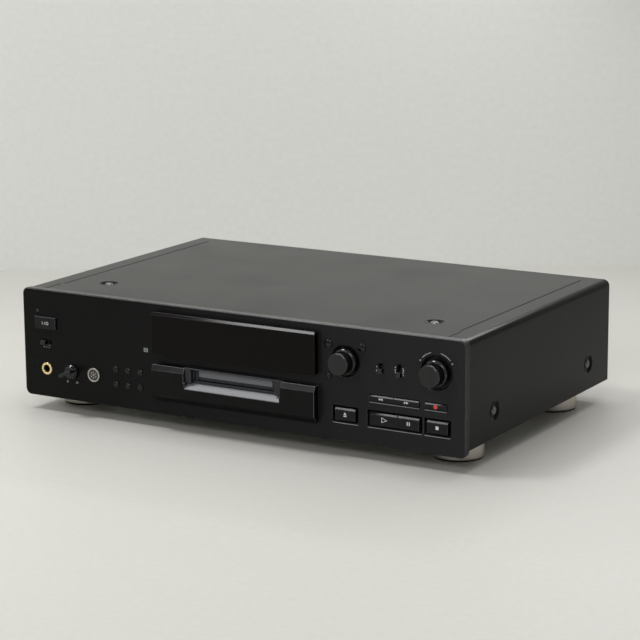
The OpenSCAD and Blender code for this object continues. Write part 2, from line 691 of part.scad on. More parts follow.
// ---- Front ----
module well_cut(w) {
    back(-1, well_d) round_rect(w[0], w[1], w[2], w[3], 0.7);
}
module well_body(w) {
    back(panel_t - eps, well_back) round_rect(w[0], w[1], w[2] + 2 * well_wall, w[3] + 2 * well_wall, 1.4);
}
module key_guide(k) {
    box(k[0] - stem_w(k) / 2 - 0.25, k[0] + stem_w(k) / 2 + 0.25, well_d - 1, well_back + 1,
        k[1] - stem_h(k) / 2 - 0.25, k[1] + stem_h(k) / 2 + 0.25);
}
module slider_cut(s) {
    len_x = s[3] ? s[2] : slot_w;
    len_z = s[3] ? slot_w : s[2];
    back(-1, panel_t + 1) round_rect(s[0], s[1], len_x, len_z, 0.6);
}
module panel_slab(y0, y1, inset) {
    back(y0, y1) round_rect(0, panel_mid, body_w - 2 * inset, panel_top - panel_bot - 2 * inset, panel_r - inset, $fn = 32);
}
module front_panel() {
    color([0.13, 0.13, 0.135]) in_frame() difference() {
        union() {
            hull() {
                panel_slab(0, eps, panel_bevel);
                panel_slab(panel_bevel, panel_t, 0);
            }
            difference() {
                panel_slab(panel_t - eps, panel_rim, 0);
                panel_slab(0, panel_rim + 1, rim_w);
            }
            for (w = WELLS) well_body(w);
            rod_y(jog_x, knob_z, panel_t - eps, round_well + 2, jog_well_r + 1, jog_well_r + 1);
            rod_y(record_x, knob_z, panel_t - eps, round_well + 2, record_well_r + 1, record_well_r + 1);
            for (p = POSTS) rod_y(p[0], p[1], panel_t - eps, board_y, post_r, post_r);
            for (x = [-150, -90, 90, 150]) rod_y(x * body_w / 430, floor_bot + 3.5, panel_t - eps, panel_rim, 2.5, 2.5);
        }
        for (w = WELLS) well_cut(w);
        for (k = KEYS) key_guide(k);
        for (s = SLIDERS) slider_cut(s);
        for (b = ROUND) rod_y(b[0], b[1], -1, panel_t + 9, b[2] + button_gap, b[2] + button_gap);
        back(-1, panel_t + 1) round_rect(power_x, power_z, power_w + 2 * button_gap, power_h + 2 * button_gap, 0.5);
        rod_y(jog_x, knob_z, -eps, round_well, jog_well_r, jog_well_r - well_taper);
        rod_y(record_x, knob_z, -eps, round_well, record_well_r, record_well_r - well_taper);
        for (x = [jog_x, record_x, phones_x])
            rod_y(x, x == phones_x ? socket_z : knob_z, -1, round_well + 3, shaft_r + run, shaft_r + run);
        rod_y(power_x, socket_z, -1, panel_t + 1, 5.2, 5.2);
        rod_y(keyboard_x, socket_z, -1, panel_t + 1, keyboard_r - 0.9, keyboard_r - 0.9);
        rod_y(power_x - 8.7, power_z + 10.3, -1, panel_t + 1, 1.2, 1.2);
        back(-1, panel_t + 1) round_rect(centre_x, glass_z, glass_w + 4, glass_h + 2, 2);
        box(centre_x - housing_w / 2 - 0.2, centre_x + housing_w / 2 + 0.2, -1, panel_t + 1, slot_z - 2.2, bezel_top + 0.1);
    }
}
module slot_block() {
    nose = 2.3;
    x0 = centre_x - block_w / 2;
    x1 = centre_x + block_w / 2;
    profile = [[0, block_bot], [-block_out, block_bot + 7], [-block_out, block_top - 4.3],
        [-block_out + nose, block_top], [0, block_top]];
    color([0.14, 0.14, 0.145]) in_frame() difference() {
        across(x0, x1) polygon(profile);
        intersection() {
            across(x0 + block_wall, x1 - block_wall) translate([block_wall, 0]) polygon(concat(profile,
                [[1, block_top], [1, block_bot]]));
            box(x0, x1, -block_out, 1, block_bot + block_wall, block_top - block_wall);
        }
        box(centre_x - bezel_w / 2 - 0.1, centre_x + bezel_w / 2 + 0.1, -block_out - 1, 1, slot_z, block_top + 1);
        box(centre_x - sill_w / 2 - 0.1, centre_x + sill_w / 2 + 0.1, -block_out - 1, 1, slot_z - sill_h, slot_z + 1);
    }
}
module display_window() {
    x0 = centre_x - block_w / 2;
    x1 = centre_x + block_w / 2;
    color([0.1, 0.08, 0.08]) in_frame() difference() {
        intersection() {
            across(x0, x1) polygon([[0, window_bot], [-window_out, window_bot], [-window_out, window_top - 1.9],
                [-window_out + 1.9, window_top], [0, window_top]]);
            back(-window_out - 1, 1) round_rect(centre_x, glass_z, block_w, window_h, 1.6);
        }
        back(-window_out + block_wall, 1) round_rect(centre_x, glass_z, block_w - 2 * block_wall,
            window_h - 2 * block_wall, 1);
    }
}
module slot_bezel() {
    color([0.3, 0.31, 0.34]) in_frame() difference() {
        union() {
            box(centre_x - bezel_w / 2, centre_x + bezel_w / 2, -bezel_out, 0, slot_z, bezel_top);
            box(centre_x - housing_w / 2, centre_x + housing_w / 2, 0, throat_back, slot_z - 2, bezel_top);
            box(centre_x - housing_w / 2, centre_x + housing_w / 2, -1, 1, slot_z, bezel_top);
        }
        // Pocket in front of the flap
        box(centre_x - bezel_w / 2 + cheek_w, centre_x + bezel_w / 2 - cheek_w, -bezel_out - 1, flap_y - 0.4,
            slot_z - 1, throat_top);
        // The disc's way through
        box(centre_x - throat_w / 2, centre_x + throat_w / 2, -bezel_out, throat_back + 1, slot_z, throat_top);
        rod_x(axis_y, axis_z, centre_x - throat_w / 2 - 2.5, centre_x + throat_w / 2 + 2.5, flap_pin_r + run);
    }
}
module slot_sill() {
    color([0.72, 0.73, 0.74]) in_frame() across(centre_x - sill_w / 2, centre_x + sill_w / 2) polygon([
        [-block_out, slot_z - sill_h], [-block_out, slot_z - sill_h + 0.4], [-2.2, slot_z - 0.1], [0, slot_z - 0.1],
        [0, slot_z - sill_h]]);
}
module slot_flap() {
    z0 = slot_z + flap_gap;
    color([0.45, 0.46, 0.5]) in_frame() union() {
        back(flap_y, flap_y + flap_t) union() {
            round_rect(centre_x, z0 + 3, flap_w, 6, 2);
            translate([centre_x - flap_w / 2, z0 + 3]) square([flap_w, throat_top - 0.2 - z0 - 3]);
        }
        rod_x(axis_y, axis_z, centre_x - throat_w / 2 - 2, centre_x + throat_w / 2 + 2, flap_pin_r);
        box(centre_x - flap_w / 2, centre_x + flap_w / 2, flap_y, axis_y, axis_z - flap_pin_r, axis_z + flap_pin_r);
    }
}
module key(k) {
    w = k[2];
    h = k[3];
    rear = well_d - key_travel - 0.3;
    bevel = h > 8 ? 1.3 : 1;
    color([0.2, 0.2, 0.21]) in_frame() translate([k[0], 0, k[1]]) union() {
        across(-w / 2, w / 2) polygon([[rear, -h / 2], [-key_out + 0.5, -h / 2], [-key_out, -h / 2 + 0.5],
            [-key_out, h / 2 - bevel], [-key_out + bevel, h / 2], [rear, h / 2]]);
        box(-stem_w(k) / 2, stem_w(k) / 2, rear - eps, switch_y - key_travel - 0.3, -stem_h(k) / 2, stem_h(k) / 2);
    }
}
module power_button() {
    color([0.2, 0.2, 0.21]) in_frame() translate([power_x, 0, power_z]) union() {
        hull() {
            back(-power_out, -power_out + eps) square([power_w - 1, power_h - 1], center = true);
            back(-power_out + 0.5, panel_t + 1) square([power_w, power_h], center = true);
        }
        back(panel_t + 0.3, panel_t + 1.5) square([power_w + 3, power_h + 3], center = true);
        back(panel_t + 1, switch_y - power_travel - 0.3) square([power_w - 8, power_h - 5], center = true);
    }
}
module round_button(b) {
    r = b[2];
    ball = (r * r + 1) / 2;
    color([0.2, 0.2, 0.21]) in_frame() translate([b[0], 0, b[1]]) union() {
        intersection() {
            rod_y(0, 0, -button_out - 1, panel_t + 1, r, r);
            translate([0, -button_out + ball, 0]) rotate([90, 0, 0]) union() {
                sphere(r = ball);
                translate([0, 0, -20]) cylinder(h = 20, r = ball);
            }
        }
        rod_y(0, 0, panel_t + button_gap, panel_t + 1.4, r + 1.1, r + 1.1);
        rod_y(0, 0, panel_t + 1, switch_y - button_travel - 0.3, 1.2, 1.2);
    }
}
module big_knob(x) {
    color([0.16, 0.16, 0.165]) in_frame() translate([x, 0, knob_z]) rotate([90, 0, 0]) rotate_extrude($fn = 96)
        polygon([[0, -11.5], [shaft_r, -11.5], [shaft_r, -3.9], [skirt_r - 0.5, -3.9], [skirt_r, -3.4],
            [skirt_r, 2.6], [skirt_r - 0.5, 3.1], [knob_r + 0.5, 3.5], [knob_r + 0.3, 6],
            [knob_r + 0.2, knob_out - 1.1], [knob_r - 0.2, knob_out - 0.3], [knob_r - 0.7, knob_out], [0, knob_out]]);
}
module jog_knob() { big_knob(jog_x); }
module record_knob() { big_knob(record_x); }
module jog_plunger() {
    color([0.75, 0.75, 0.76]) in_frame() difference() {
        rod_y(jog_x, knob_z, 8.4, 11.2, 4.5, 4.5);
        rod_y(jog_x, knob_z, 8, 12, shaft_r + run, shaft_r + run);
    }
}
module phones_knob() {
    color([0.16, 0.16, 0.165]) in_frame() translate([phones_x, 0, socket_z]) rotate([90, 0, 0]) union() {
        rotate_extrude() polygon([[0, -11.5], [shaft_r, -11.5], [shaft_r, 0.4], [phones_r, 0.4],
            [phones_r, 2.6], [phones_r - 0.5, 3.2], [phones_r - 1.4, 4.4], [0, 4.4]]);
        rotate(blade_angle) translate([0, 0, 4]) linear_extrude(phones_out - 4)
            slot_2d([-phones_r + blade_w / 2, 0], [phones_r - blade_w / 2, 0], blade_w / 2);
    }
}
module slider(s) {
    dx = s[3] ? s[4] : 0;
    dz = s[3] ? 0 : s[4];
    across_w = slot_w - 2 * button_gap;
    w = s[3] ? slider_l : across_w;
    h = s[3] ? across_w : slider_l;
    color([0.2, 0.2, 0.21]) in_frame() translate([s[0] + dx, 0, s[1] + dz]) union() {
        back(-slider_out, panel_t + 1) round_rect(0, 0, w, h, 0.5);
        back(panel_t + button_gap, panel_t + 1.3) square([w + 2, h + 2], center = true);
        back(panel_t + 1, 8.9) square([2, 2], center = true);
    }
}
module timer_slider() { slider(TIMER); }
module mode_slider() { slider(MODE); }
module input_slider() { slider(INPUT); }
module headphone_jack() {
    color([0.1, 0.1, 0.1]) in_frame() difference() {
        union() {
            rod_y(power_x, socket_z, 0, panel_t + 1, 5, 5);
            box(power_x - 6.5, power_x + 6.5, panel_t, 27, socket_z - 6.5, socket_z + 6.5);
        }
        rod_y(power_x, socket_z, -1, 24, phones_bore, phones_bore);
    }
}
module headphone_ring() {
    color([0.83, 0.64, 0.3]) in_frame() difference() {
        rod_y(power_x, socket_z, -1.2, 0, ring_r - 0.4, ring_r);
        rod_y(power_x, socket_z, -2, 1, phones_bore + 0.2, phones_bore + 0.2);
    }
}
module keyboard_socket() {
    inner = keyboard_r - 1.6;
    color([0.6, 0.6, 0.6]) in_frame() difference() {
        union() {
            rod_y(keyboard_x, socket_z, -1, 0, keyboard_r - 0.3, keyboard_r);
            rod_y(keyboard_x, socket_z, -eps, panel_t + 1, keyboard_r - 1.1, keyboard_r - 1.1);
            box(keyboard_x - 7, keyboard_x + 7, panel_t, board_y, socket_z - 7, socket_z + 7);
        }
        difference() {
            rod_y(keyboard_x, socket_z, -2, 8, inner, inner);
            rod_y(keyboard_x, socket_z, -0.6, 9, inner - 0.7, inner - 0.7);
        }
        for (a = [30:60:330]) translate([2.3 * cos(a), 0, 2.3 * sin(a)])
            rod_y(keyboard_x, socket_z, -2, 5, 0.45, 0.45, $fn = 16);
        box(keyboard_x - 0.9, keyboard_x + 0.9, -2, 5, socket_z - 0.4, socket_z + 0.4);
    }
}
module front_board() {
    notch = mech_half + 8;
    color([0.1, 0.3, 0.16]) in_frame() difference() {
        union() {
            box(left + 6, right - 6, board_y, board_y + board_t, panel_bot + 9, panel_top - 5);
            for (k = KEYS) box(k[0] - 3, k[0] + 3, switch_y, board_y + eps, k[1] - 3, k[1] + 3);
            for (b = ROUND) box(b[0] - 3, b[0] + 3, switch_y, board_y + eps, b[1] - 3, b[1] + 3);
            box(power_x - 4, power_x + 4, switch_y, board_y + eps, power_z - 4, power_z + 4);
            for (s = SLIDERS) box(s[0] - 4.5, s[0] + 4.5, 9.2, board_y + eps, s[1] - 4.5, s[1] + 4.5);
            for (x = [jog_x, record_x]) box(x - 7, x + 7, 8.2, board_y + eps, knob_z - 7, knob_z + 7);
            box(phones_x - 6, phones_x + 6, 8.2, board_y + eps, socket_z - 6, socket_z + 6);
            rod_y(power_x - 8.7, power_z + 10.3, 0.4, board_y + eps, 1, 1);
        }
        box(centre_x - notch, centre_x + notch, board_y - 1, board_y + 3, panel_bot, throat_top + 3);
        box(power_x - 7, power_x + 7, board_y - 1, board_y + 3, socket_z - 7, socket_z + 7);
        rod_y(record_x, knob_z, 8, 12, shaft_r + run, shaft_r + run);
        rod_y(phones_x, socket_z, 8, 12, shaft_r + run, shaft_r + run);
        rod_y(jog_x, knob_z, 8, 12.6, 4.5 + run, 4.5 + run);
    }
}
module display_tube() {
    color([0.12, 0.16, 0.17]) in_frame() union() {
        box(centre_x - glass_w / 2, centre_x + glass_w / 2, glass_y, glass_y + 6, glass_z - glass_h / 2, glass_z + glass_h / 2);
        box(centre_x - glass_w / 2 + 6, centre_x + glass_w / 2 - 6, glass_y + 5, board_y,
            glass_z - glass_h / 2 + 4, glass_z + glass_h / 2 - 4);
    }
}

// ---- Boards, supply and sockets ----
main_x0 = centre_x + mech_half + main_gap;
main_x1 = right - 10;
main_y1 = rear_y - 14;
power_x0 = left + 8;
power_x1 = power_x0 + power_board_w;
power_y1 = rear_y - 12;
power_y0 = power_y1 - power_l;
MAIN_POSTS = [for (x = [main_x0 + 5, main_x1 - 5], y = [main_y + 8, main_y1 - 16]) [x, y]];
POWER_POSTS = [for (x = [power_x0 + 7, power_x1 - 7], y = [power_y0 + 8, power_y1 - 8]) [x, y]];
module chip(x, y, w, l, h) { box(x - w / 2, x + w / 2, y - l / 2, y + l / 2, board_z + board_t - eps, board_z + board_t + h); }
module main_board() {
    color([0.12, 0.36, 0.2]) in_frame() union() {
        box(main_x0, main_x1, main_y, main_y1, board_z, board_z + board_t);
        chip(main_x1 - 60, main_y + 58, chip_w, chip_w, chip_h);
        chip(main_x1 - 28, main_y + 88, chip_w / 2, chip_w, chip_h);
        chip(main_x0 + 25, main_y + 103, chip_w * 0.7, chip_w / 2, chip_h);
        chip(main_x1 - 45, main_y1 - 50, chip_w / 2.5, chip_w, chip_h);
        for (i = [0:4]) rod_z(main_x0 + 16 + 16 * i, main_y + 28, board_z + board_t - eps, board_z + board_t + cap_r, cap_r * 0.36);
    }
}
module power_board() {
    color([0.5, 0.4, 0.22]) in_frame() union() {
        box(power_x0, power_x1, power_y0, power_y1, board_z, board_z + board_t);
        for (i = [0:2]) chip(power_x0 + 14 + 22 * i, power_y0 + 13, 12, cap_r, 12);
    }
}
module transformer() {
    x = left + 48;
    y = transformer_y;
    core = transformer_l / 2;
    coil = core + winding_out;
    color([0.45, 0.36, 0.22]) in_frame() union() {
        box(x - transformer_w / 2, x + transformer_w / 2, y - core, y + core, floor_top, floor_top + transformer_h);
        box(x - transformer_w * 0.3, x + transformer_w * 0.3, y - coil, y + coil,
            floor_top + transformer_h * 0.24, floor_top + transformer_h * 0.76);
        box(x - transformer_w / 2 - 7, x + transformer_w / 2 + 7, y - core + 4, y + core - 4, floor_top, floor_top + 2);
    }
}
module heat_sink() {
    x = power_x1 + 26;
    y0 = rear_y - 39 - sink_l;
    color([0.5, 0.5, 0.52]) in_frame() translate([0, 0, floor_top]) linear_extrude(sink_h) union() {
        translate([x, y0]) square([3, sink_l]);
        for (i = [0:8]) translate([x + 3 - eps, y0 + i * (sink_l - 1.2) / 8]) square([fin_l, 1.2]);
    }
}
module capacitors() {
    z = board_z + board_t;
    color([0.12, 0.12, 0.3]) in_frame() {
        for (i = [0, 1]) rod_z(power_x0 + 22 + 26 * i, power_y1 - 67.5, z, z + cap_h, cap_r);
        for (i = [0:2]) rod_z(power_x0 + 16 + 20 * i, power_y1 - 41.5, z, z + cap_h * 0.6, cap_r * 0.55);
        for (i = [0:2]) rod_z(power_x0 + 16 + 20 * i, power_y1 - 24.5, z, z + cap_h * 0.4, cap_r * 0.45);
    }
}
module phono_socket(x, z) { rod_y(x, z, jack_face - 8, rear_y + jack_out, phono_r, phono_r); }
module phono_hole(x, z) { rod_y(x, z, rear_y, rear_y + jack_out + 1, 1.7, 1.7); }
module phono_jacks() {
    spots = concat([for (i = [0, 1], k = [0, 1]) [phono_x + i * phono_step, jack_z + k * phono_step]], [[coax_x, jack_z]]);
    color([0.75, 0.75, 0.72]) in_frame() difference() {
        union() {
            box(phono_x - 8, phono_x + phono_step + 8, jack_face - 14, jack_face, board_z + board_t, jack_z + phono_step + 8);
            box(coax_x - 7, coax_x + 7, jack_face - 14, jack_face, board_z + board_t, jack_z + 8);
            for (s = spots) phono_socket(s[0], s[1]);
        }
        for (s = spots) phono_hole(s[0], s[1]);
    }
}
module optical_sockets() {
    color([0.08, 0.08, 0.08]) in_frame() for (x = OPTICAL) difference() {
        union() {
            box(x - 6, x + 6, jack_face - 10, jack_face, board_z + board_t, jack_z + 6);
            box(x - 5, x + 5, jack_face - eps, rear_y + 0.8, jack_z - 5, jack_z + 5);
        }
        box(x - 3.8, x + 3.8, rear_y - 0.2, rear_y + 2, jack_z - 3.8, jack_z + 3.8);
    }
}
module cord_bushing() {
    color([0.06, 0.06, 0.06]) in_frame() difference() {
        union() {
            rod_y(cord_x, cord_z, rear_y, rear_y + 2.4, cord_r + 4.2, cord_r + 3.6);
            rod_y(cord_x, cord_z, jack_face - 8, rear_y + eps, cord_r + 2.4, cord_r + 2.4);
        }
        rod_y(cord_x, cord_z, jack_face - 9, rear_y + 4, cord_r, cord_r);
    }
}

// ---- Disc mechanism ----
module in_mech() { in_frame() translate([centre_x, 0, 0]) children(); }
module mech_frame() {
    color([0.7, 0.7, 0.69]) in_mech() difference() {
        union() {
            box(-mech_half, mech_half, mech_y0, mech_y1, base_z, base_top);
            box(mech_half - eps, mech_half + 22, gear_y + 10, mech_y1 - 8, base_z, base_top);
            for (s = [-1, 1]) translate([s * (mech_half - sheet_t / 2), 0, 0])
                box(-sheet_t / 2, sheet_t / 2, holder_y + 4, mech_y1 - 6, base_z, pin_z + 10);
            for (s = [-1, 1], y = [mech_y0 + 6, mech_y1 - 6]) rod_z(s * (mech_half - 6), y, floor_top, base_z + eps, 4);
            for (y = STUDS) rod_x(y, stud_z, mech_half - eps, slider_x + slider_t + 0.4, pin_r);
            rod_x(gear_y, load_z, mech_half - eps, slider_x + gear_t + 0.6, stud_r);
            // Rod brackets and the sled gear's stud
            for (s = [-1, 1], y = [sled_y - 6, sled_y + sled_l + sled_travel + 1.4])
                box(s * rod_side - 3, s * rod_side + 3, y, y + 3, base_top - eps, rod_z + rod_r + 1.2);
            rod_z(-sled_gear_x, sled_gear_y, base_top - eps, sled_gear_z - 0.2, stud_r + 1.6);
            rod_z(-sled_gear_x, sled_gear_y, base_top, sled_gear_z + gear_t + 0.6, stud_r);
        }
        for (s = [-1, 1], y = PINS) across(s * mech_half - 3, s * mech_half + 3)
            slot_2d([y, pin_z + 0.2], [y, pin_z - holder_drop - 0.2], pin_r + 0.15);
        for (s = [-1, 1]) rod_y(s * rod_side, rod_z, sled_y - 7, sled_y + sled_l + sled_travel + 6, rod_r, rod_r);
    }
}
module guide_rods() {
    color([0.8, 0.8, 0.82]) in_mech() for (s = [-1, 1])
        rod_y(s * rod_side, rod_z, sled_y - 6.5, sled_y + sled_l + sled_travel + 5, rod_r, rod_r);
}
module mech_motors() {
    can_y = gear_y + 12;
    color([0.75, 0.75, 0.74]) in_mech() {
        difference() {
            rod_z(0, spindle_y, base_top, base_top + 7.6, motor_r);
            rod_z(0, spindle_y, base_top + 1.8, base_top + 9, 1.5 + run);
        }
        box(-mech_half + 3, -mech_half + 15, sled_gear_y + 10, mech_y1 - 8, base_top, base_top + 10);
        rod_y(mech_half + 12, base_top + 8, can_y, can_y + 26, 8, 8);
        box(mech_half + 6, mech_half + 18, can_y, can_y + 26, base_top, base_top + 5);
        rod_y(mech_half + 12, base_top + 8, can_y - 8, can_y + 1, 1, 1);
    }
}
module turntable() {
    z = base_top + 8.6;
    color([0.85, 0.85, 0.86]) in_mech() translate([0, spindle_y, 0]) rotate_extrude() polygon([
        [0, base_top + 2.3], [1.5, base_top + 2.3], [1.5, z], [table_r, z], [table_r, z + 2], [5.5, z + 2],
        [5.5, z + 4.4], [4, z + 6], [1.6, z + 7.2], [0, z + 7.2]]);
}
module pickup_sled() {
    color([0.22, 0.22, 0.24]) in_mech() difference() {
        union() {
            box(-17, 17, sled_y, sled_y + sled_l, sled_z, sled_z + sled_h);
            rod_y(-rod_side, rod_z, sled_y, sled_y + sled_l, 3, 3);
            box(-rod_side + 1, -16, sled_y, sled_y + sled_l, rod_z - 2, rod_z + 2);
            box(16, rod_side + 1.6, sled_y + 6, sled_y + sled_l - 6, rod_z - 3.2, rod_z + 3.2);
            rod_z(0, sled_y + 4.5, sled_z + sled_h - eps, sled_z + sled_h + 1.2, 3.4);
            // Rack on the gear's side
            translate([-rack_x, sled_gear_y, sled_gear_z]) linear_extrude(gear_t) rotate(-90)
                rack_2d(sled_gear_y - sled_y - sled_l, sled_gear_y - sled_y, rack_x - rod_side - dedendum - 2);
        }
        rod_y(-rod_side, rod_z, sled_y - 1, sled_y + sled_l + 1, rod_r + run, rod_r + run);
        rod_y(rod_side, rod_z, sled_y - 1, sled_y + sled_l + 1, rod_r + run, rod_r + run);
        box(rod_side, rod_side + 5, sled_y, sled_y + sled_l, rod_z - rod_r - run, rod_z + rod_r + run);
    }
}
module sled_gear() {
    color([0.9, 0.9, 0.86]) in_mech() translate([-sled_gear_x, sled_gear_y, sled_gear_z]) linear_extrude(gear_t)
        difference() {
            gear_2d();
            circle(r = stud_r + run);
        }
}
module disc_holder() {
    y1 = holder_y + holder_l;
    lip = 8;
    top = holder_z + holder_h;
    color([0.74, 0.74, 0.73]) in_mech() difference() {
        union() {
            box(-holder_out, holder_out, holder_y, y1, top, top + holder_t);
            for (s = [-1, 1]) {
                translate([s * (holder_out - holder_t / 2), 0, 0])
                    box(-holder_t / 2, holder_t / 2, holder_y, y1, holder_z - holder_t, top + eps);
                translate([s * (holder_out - lip / 2), 0, 0])
                    box(-lip / 2, lip / 2, holder_y, y1, holder_z - holder_t, holder_z);
            }
            for (y = PINS) {
                rod_x(y, pin_z, holder_in, slider_x + slider_t + 0.8, pin_r);
                rod_x(y, pin_z, -mech_half - 0.8, -holder_in, pin_r);
            }
            box(-holder_out, -holder_out + 14, y1 - holder_t, y1, holder_z - holder_t, top + eps);
            box(holder_out - 14, holder_out, y1 - holder_t, y1, holder_z - holder_t, top + eps);
        }
        box(-14, 14, spindle_y - 6, y1 + 1, top - 1, top + holder_t + 1);
    }
}
module cam_slider() {
    shift = [-cam_travel, -holder_drop];
    color([0.8, 0.8, 0.8]) in_mech() across(slider_x, slider_x + slider_t) difference() {
        union() {
            translate([holder_y - 2, rack_z + dedendum]) square([holder_l + 12, stud_z + 4 - rack_z - dedendum]);
            translate([gear_y, rack_z]) rack_2d(-cam_travel - 8, 8, 2);
        }
        for (y = PINS) slot_2d([y, pin_z] - shift * 0.03, [y, pin_z] + shift * 1.03, pin_r + 0.2, 0.05);
        for (y = STUDS) slot_2d([y + 0.2, stud_z], [y - cam_travel - 0.2, stud_z], pin_r + run + 0.04, 0.04);
    }
}
module loading_gear() {
    color([0.9, 0.9, 0.86]) in_mech() across(slider_x, slider_x + gear_t) translate([gear_y, load_z])
        rotate(90) difference() {
            gear_2d();
            circle(r = stud_r + run);
        }
}

chassis();
top_brace();
rear_panel();
top_cover();
front_panel();
slot_block();
display_window();
slot_bezel();
slot_sill();
feet();
foot_pads();
cover_screws();
rear_screws();
headphone_jack();
headphone_ring();
keyboard_socket();
front_board();
display_tube();
main_board();
power_board();
transformer();
heat_sink();
capacitors();
phono_jacks();
optical_sockets();
cord_bushing();
mech_frame();
guide_rods();
mech_motors();
power_button();
key(EJECT);  // eject_key
key(PLAY);  // play_key
key(PAUSE);  // pause_key
key(STOP);  // stop_key
key(REWIND);  // rewind_key
key(FORWARD);  // forward_key
key(RECORD);  // record_key
round_button(function_at(0));  // function_button_1
round_button(function_at(1));  // function_button_2
round_button(function_at(2));  // function_button_3
round_button(function_at(3));  // function_button_4
round_button(function_at(4));  // function_button_5
round_button(function_at(5));  // function_button_6
round_button(MENU);  // menu_button
round_button(YES);  // yes_button
round_button(CLEAR);  // clear_button
jog_plunger();
jog_knob();
record_knob();
phones_knob();
timer_slider();
mode_slider();
input_slider();
slot_flap();
turntable();
pickup_sled();
sled_gear();
disc_holder();
cam_slider();
loading_gear();
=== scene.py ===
import math

import bpy
from mathutils import Matrix, Vector


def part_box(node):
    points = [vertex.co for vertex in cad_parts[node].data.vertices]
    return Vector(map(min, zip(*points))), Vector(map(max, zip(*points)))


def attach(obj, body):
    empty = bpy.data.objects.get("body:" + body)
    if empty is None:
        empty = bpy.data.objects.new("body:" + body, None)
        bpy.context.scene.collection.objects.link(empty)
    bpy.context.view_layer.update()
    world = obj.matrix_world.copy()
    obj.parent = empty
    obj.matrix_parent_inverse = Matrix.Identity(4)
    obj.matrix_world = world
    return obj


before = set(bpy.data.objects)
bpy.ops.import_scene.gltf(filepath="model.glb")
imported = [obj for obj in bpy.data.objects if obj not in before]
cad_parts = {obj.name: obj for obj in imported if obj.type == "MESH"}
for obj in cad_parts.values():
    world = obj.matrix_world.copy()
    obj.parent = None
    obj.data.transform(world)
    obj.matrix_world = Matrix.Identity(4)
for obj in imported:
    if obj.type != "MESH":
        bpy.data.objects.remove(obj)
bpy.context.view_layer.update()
print("stage: frame loaded")

mm = 0.001
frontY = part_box("front_panel")[0].y  # the panel's face


def clearPick():
    if bpy.context.object and bpy.context.object.mode != "OBJECT":
        bpy.ops.object.mode_set(mode="OBJECT")
    bpy.ops.object.select_all(action="DESELECT")


clearPick()

# fitted to the photo: angles in degrees, distance and target in metres, lens in millimetres
cameraSpec = {"azimuth": 30.81, "elevation": 12.48, "roll": -0.41, "distance": 1.98494,
              "target": (0.00043, 0.0064, 0.07403), "lens": 128.245}


def placeCamera(spec):
    turn = Matrix.Rotation(math.radians(spec["azimuth"]), 3, "Z")
    tilt = Matrix.Rotation(math.radians(90 - spec["elevation"]), 3, "X")
    roll = Matrix.Rotation(math.radians(spec["roll"]), 3, "Z")
    rotation = turn @ tilt @ roll
    data = bpy.data.cameras.new("photoCamera")
    data.lens = spec["lens"]
    camera = bpy.data.objects.new("photoCamera", data)
    bpy.context.scene.collection.objects.link(camera)
    away = turn @ tilt @ Vector((0, 0, 1))
    place = Vector(spec["target"]) + away * spec["distance"]
    camera.matrix_world = Matrix.Translation(place) @ rotation.to_4x4()
    bpy.context.scene.camera = camera


placeCamera(cameraSpec)


# shader groups that the materials share; an input that a material doesn't set is 1
def newGroup(name, inputs, outputs):
    group = bpy.data.node_groups.new(name, "ShaderNodeTree")
    for label in inputs:
        socket = group.interface.new_socket(label, in_out="INPUT", socket_type="NodeSocketFloat")
        socket.default_value = 1.0
    for label in outputs:
        kind = "NodeSocketVector" if label == "Normal" else "NodeSocketFloat"
        group.interface.new_socket(label, in_out="OUTPUT", socket_type=kind)
    return group, group.nodes.new("NodeGroupInput"), group.nodes.new("NodeGroupOutput")


def mathNode(tree, operation, first, second, clamp=False):
    node = tree.nodes.new("ShaderNodeMath")
    node.operation = operation
    node.use_clamp = clamp
    for slot, value in enumerate((first, second)):
        if isinstance(value, (int, float)):
            node.inputs[slot].default_value = value
        else:
            tree.links.new(value, node.inputs[slot])
    return node.outputs[0]


# edge wear mixed with painted highlight, broken by speckles: the mask is stronger on edges that face up or
# right, where highlights fall, and adds painted highlight on 45 degree and level faces
wearAndHighlightSpec = {"samples": 4, "sharp": 10.0, "speckle": 180, "unbroken": 0.4, "up": 1.1, "right": 0.6,
            "anyway": 0.2, "slope": 0.707, "slopeFall": 6.0, "levelFrom": 0.8, "levelGain": 5.0}


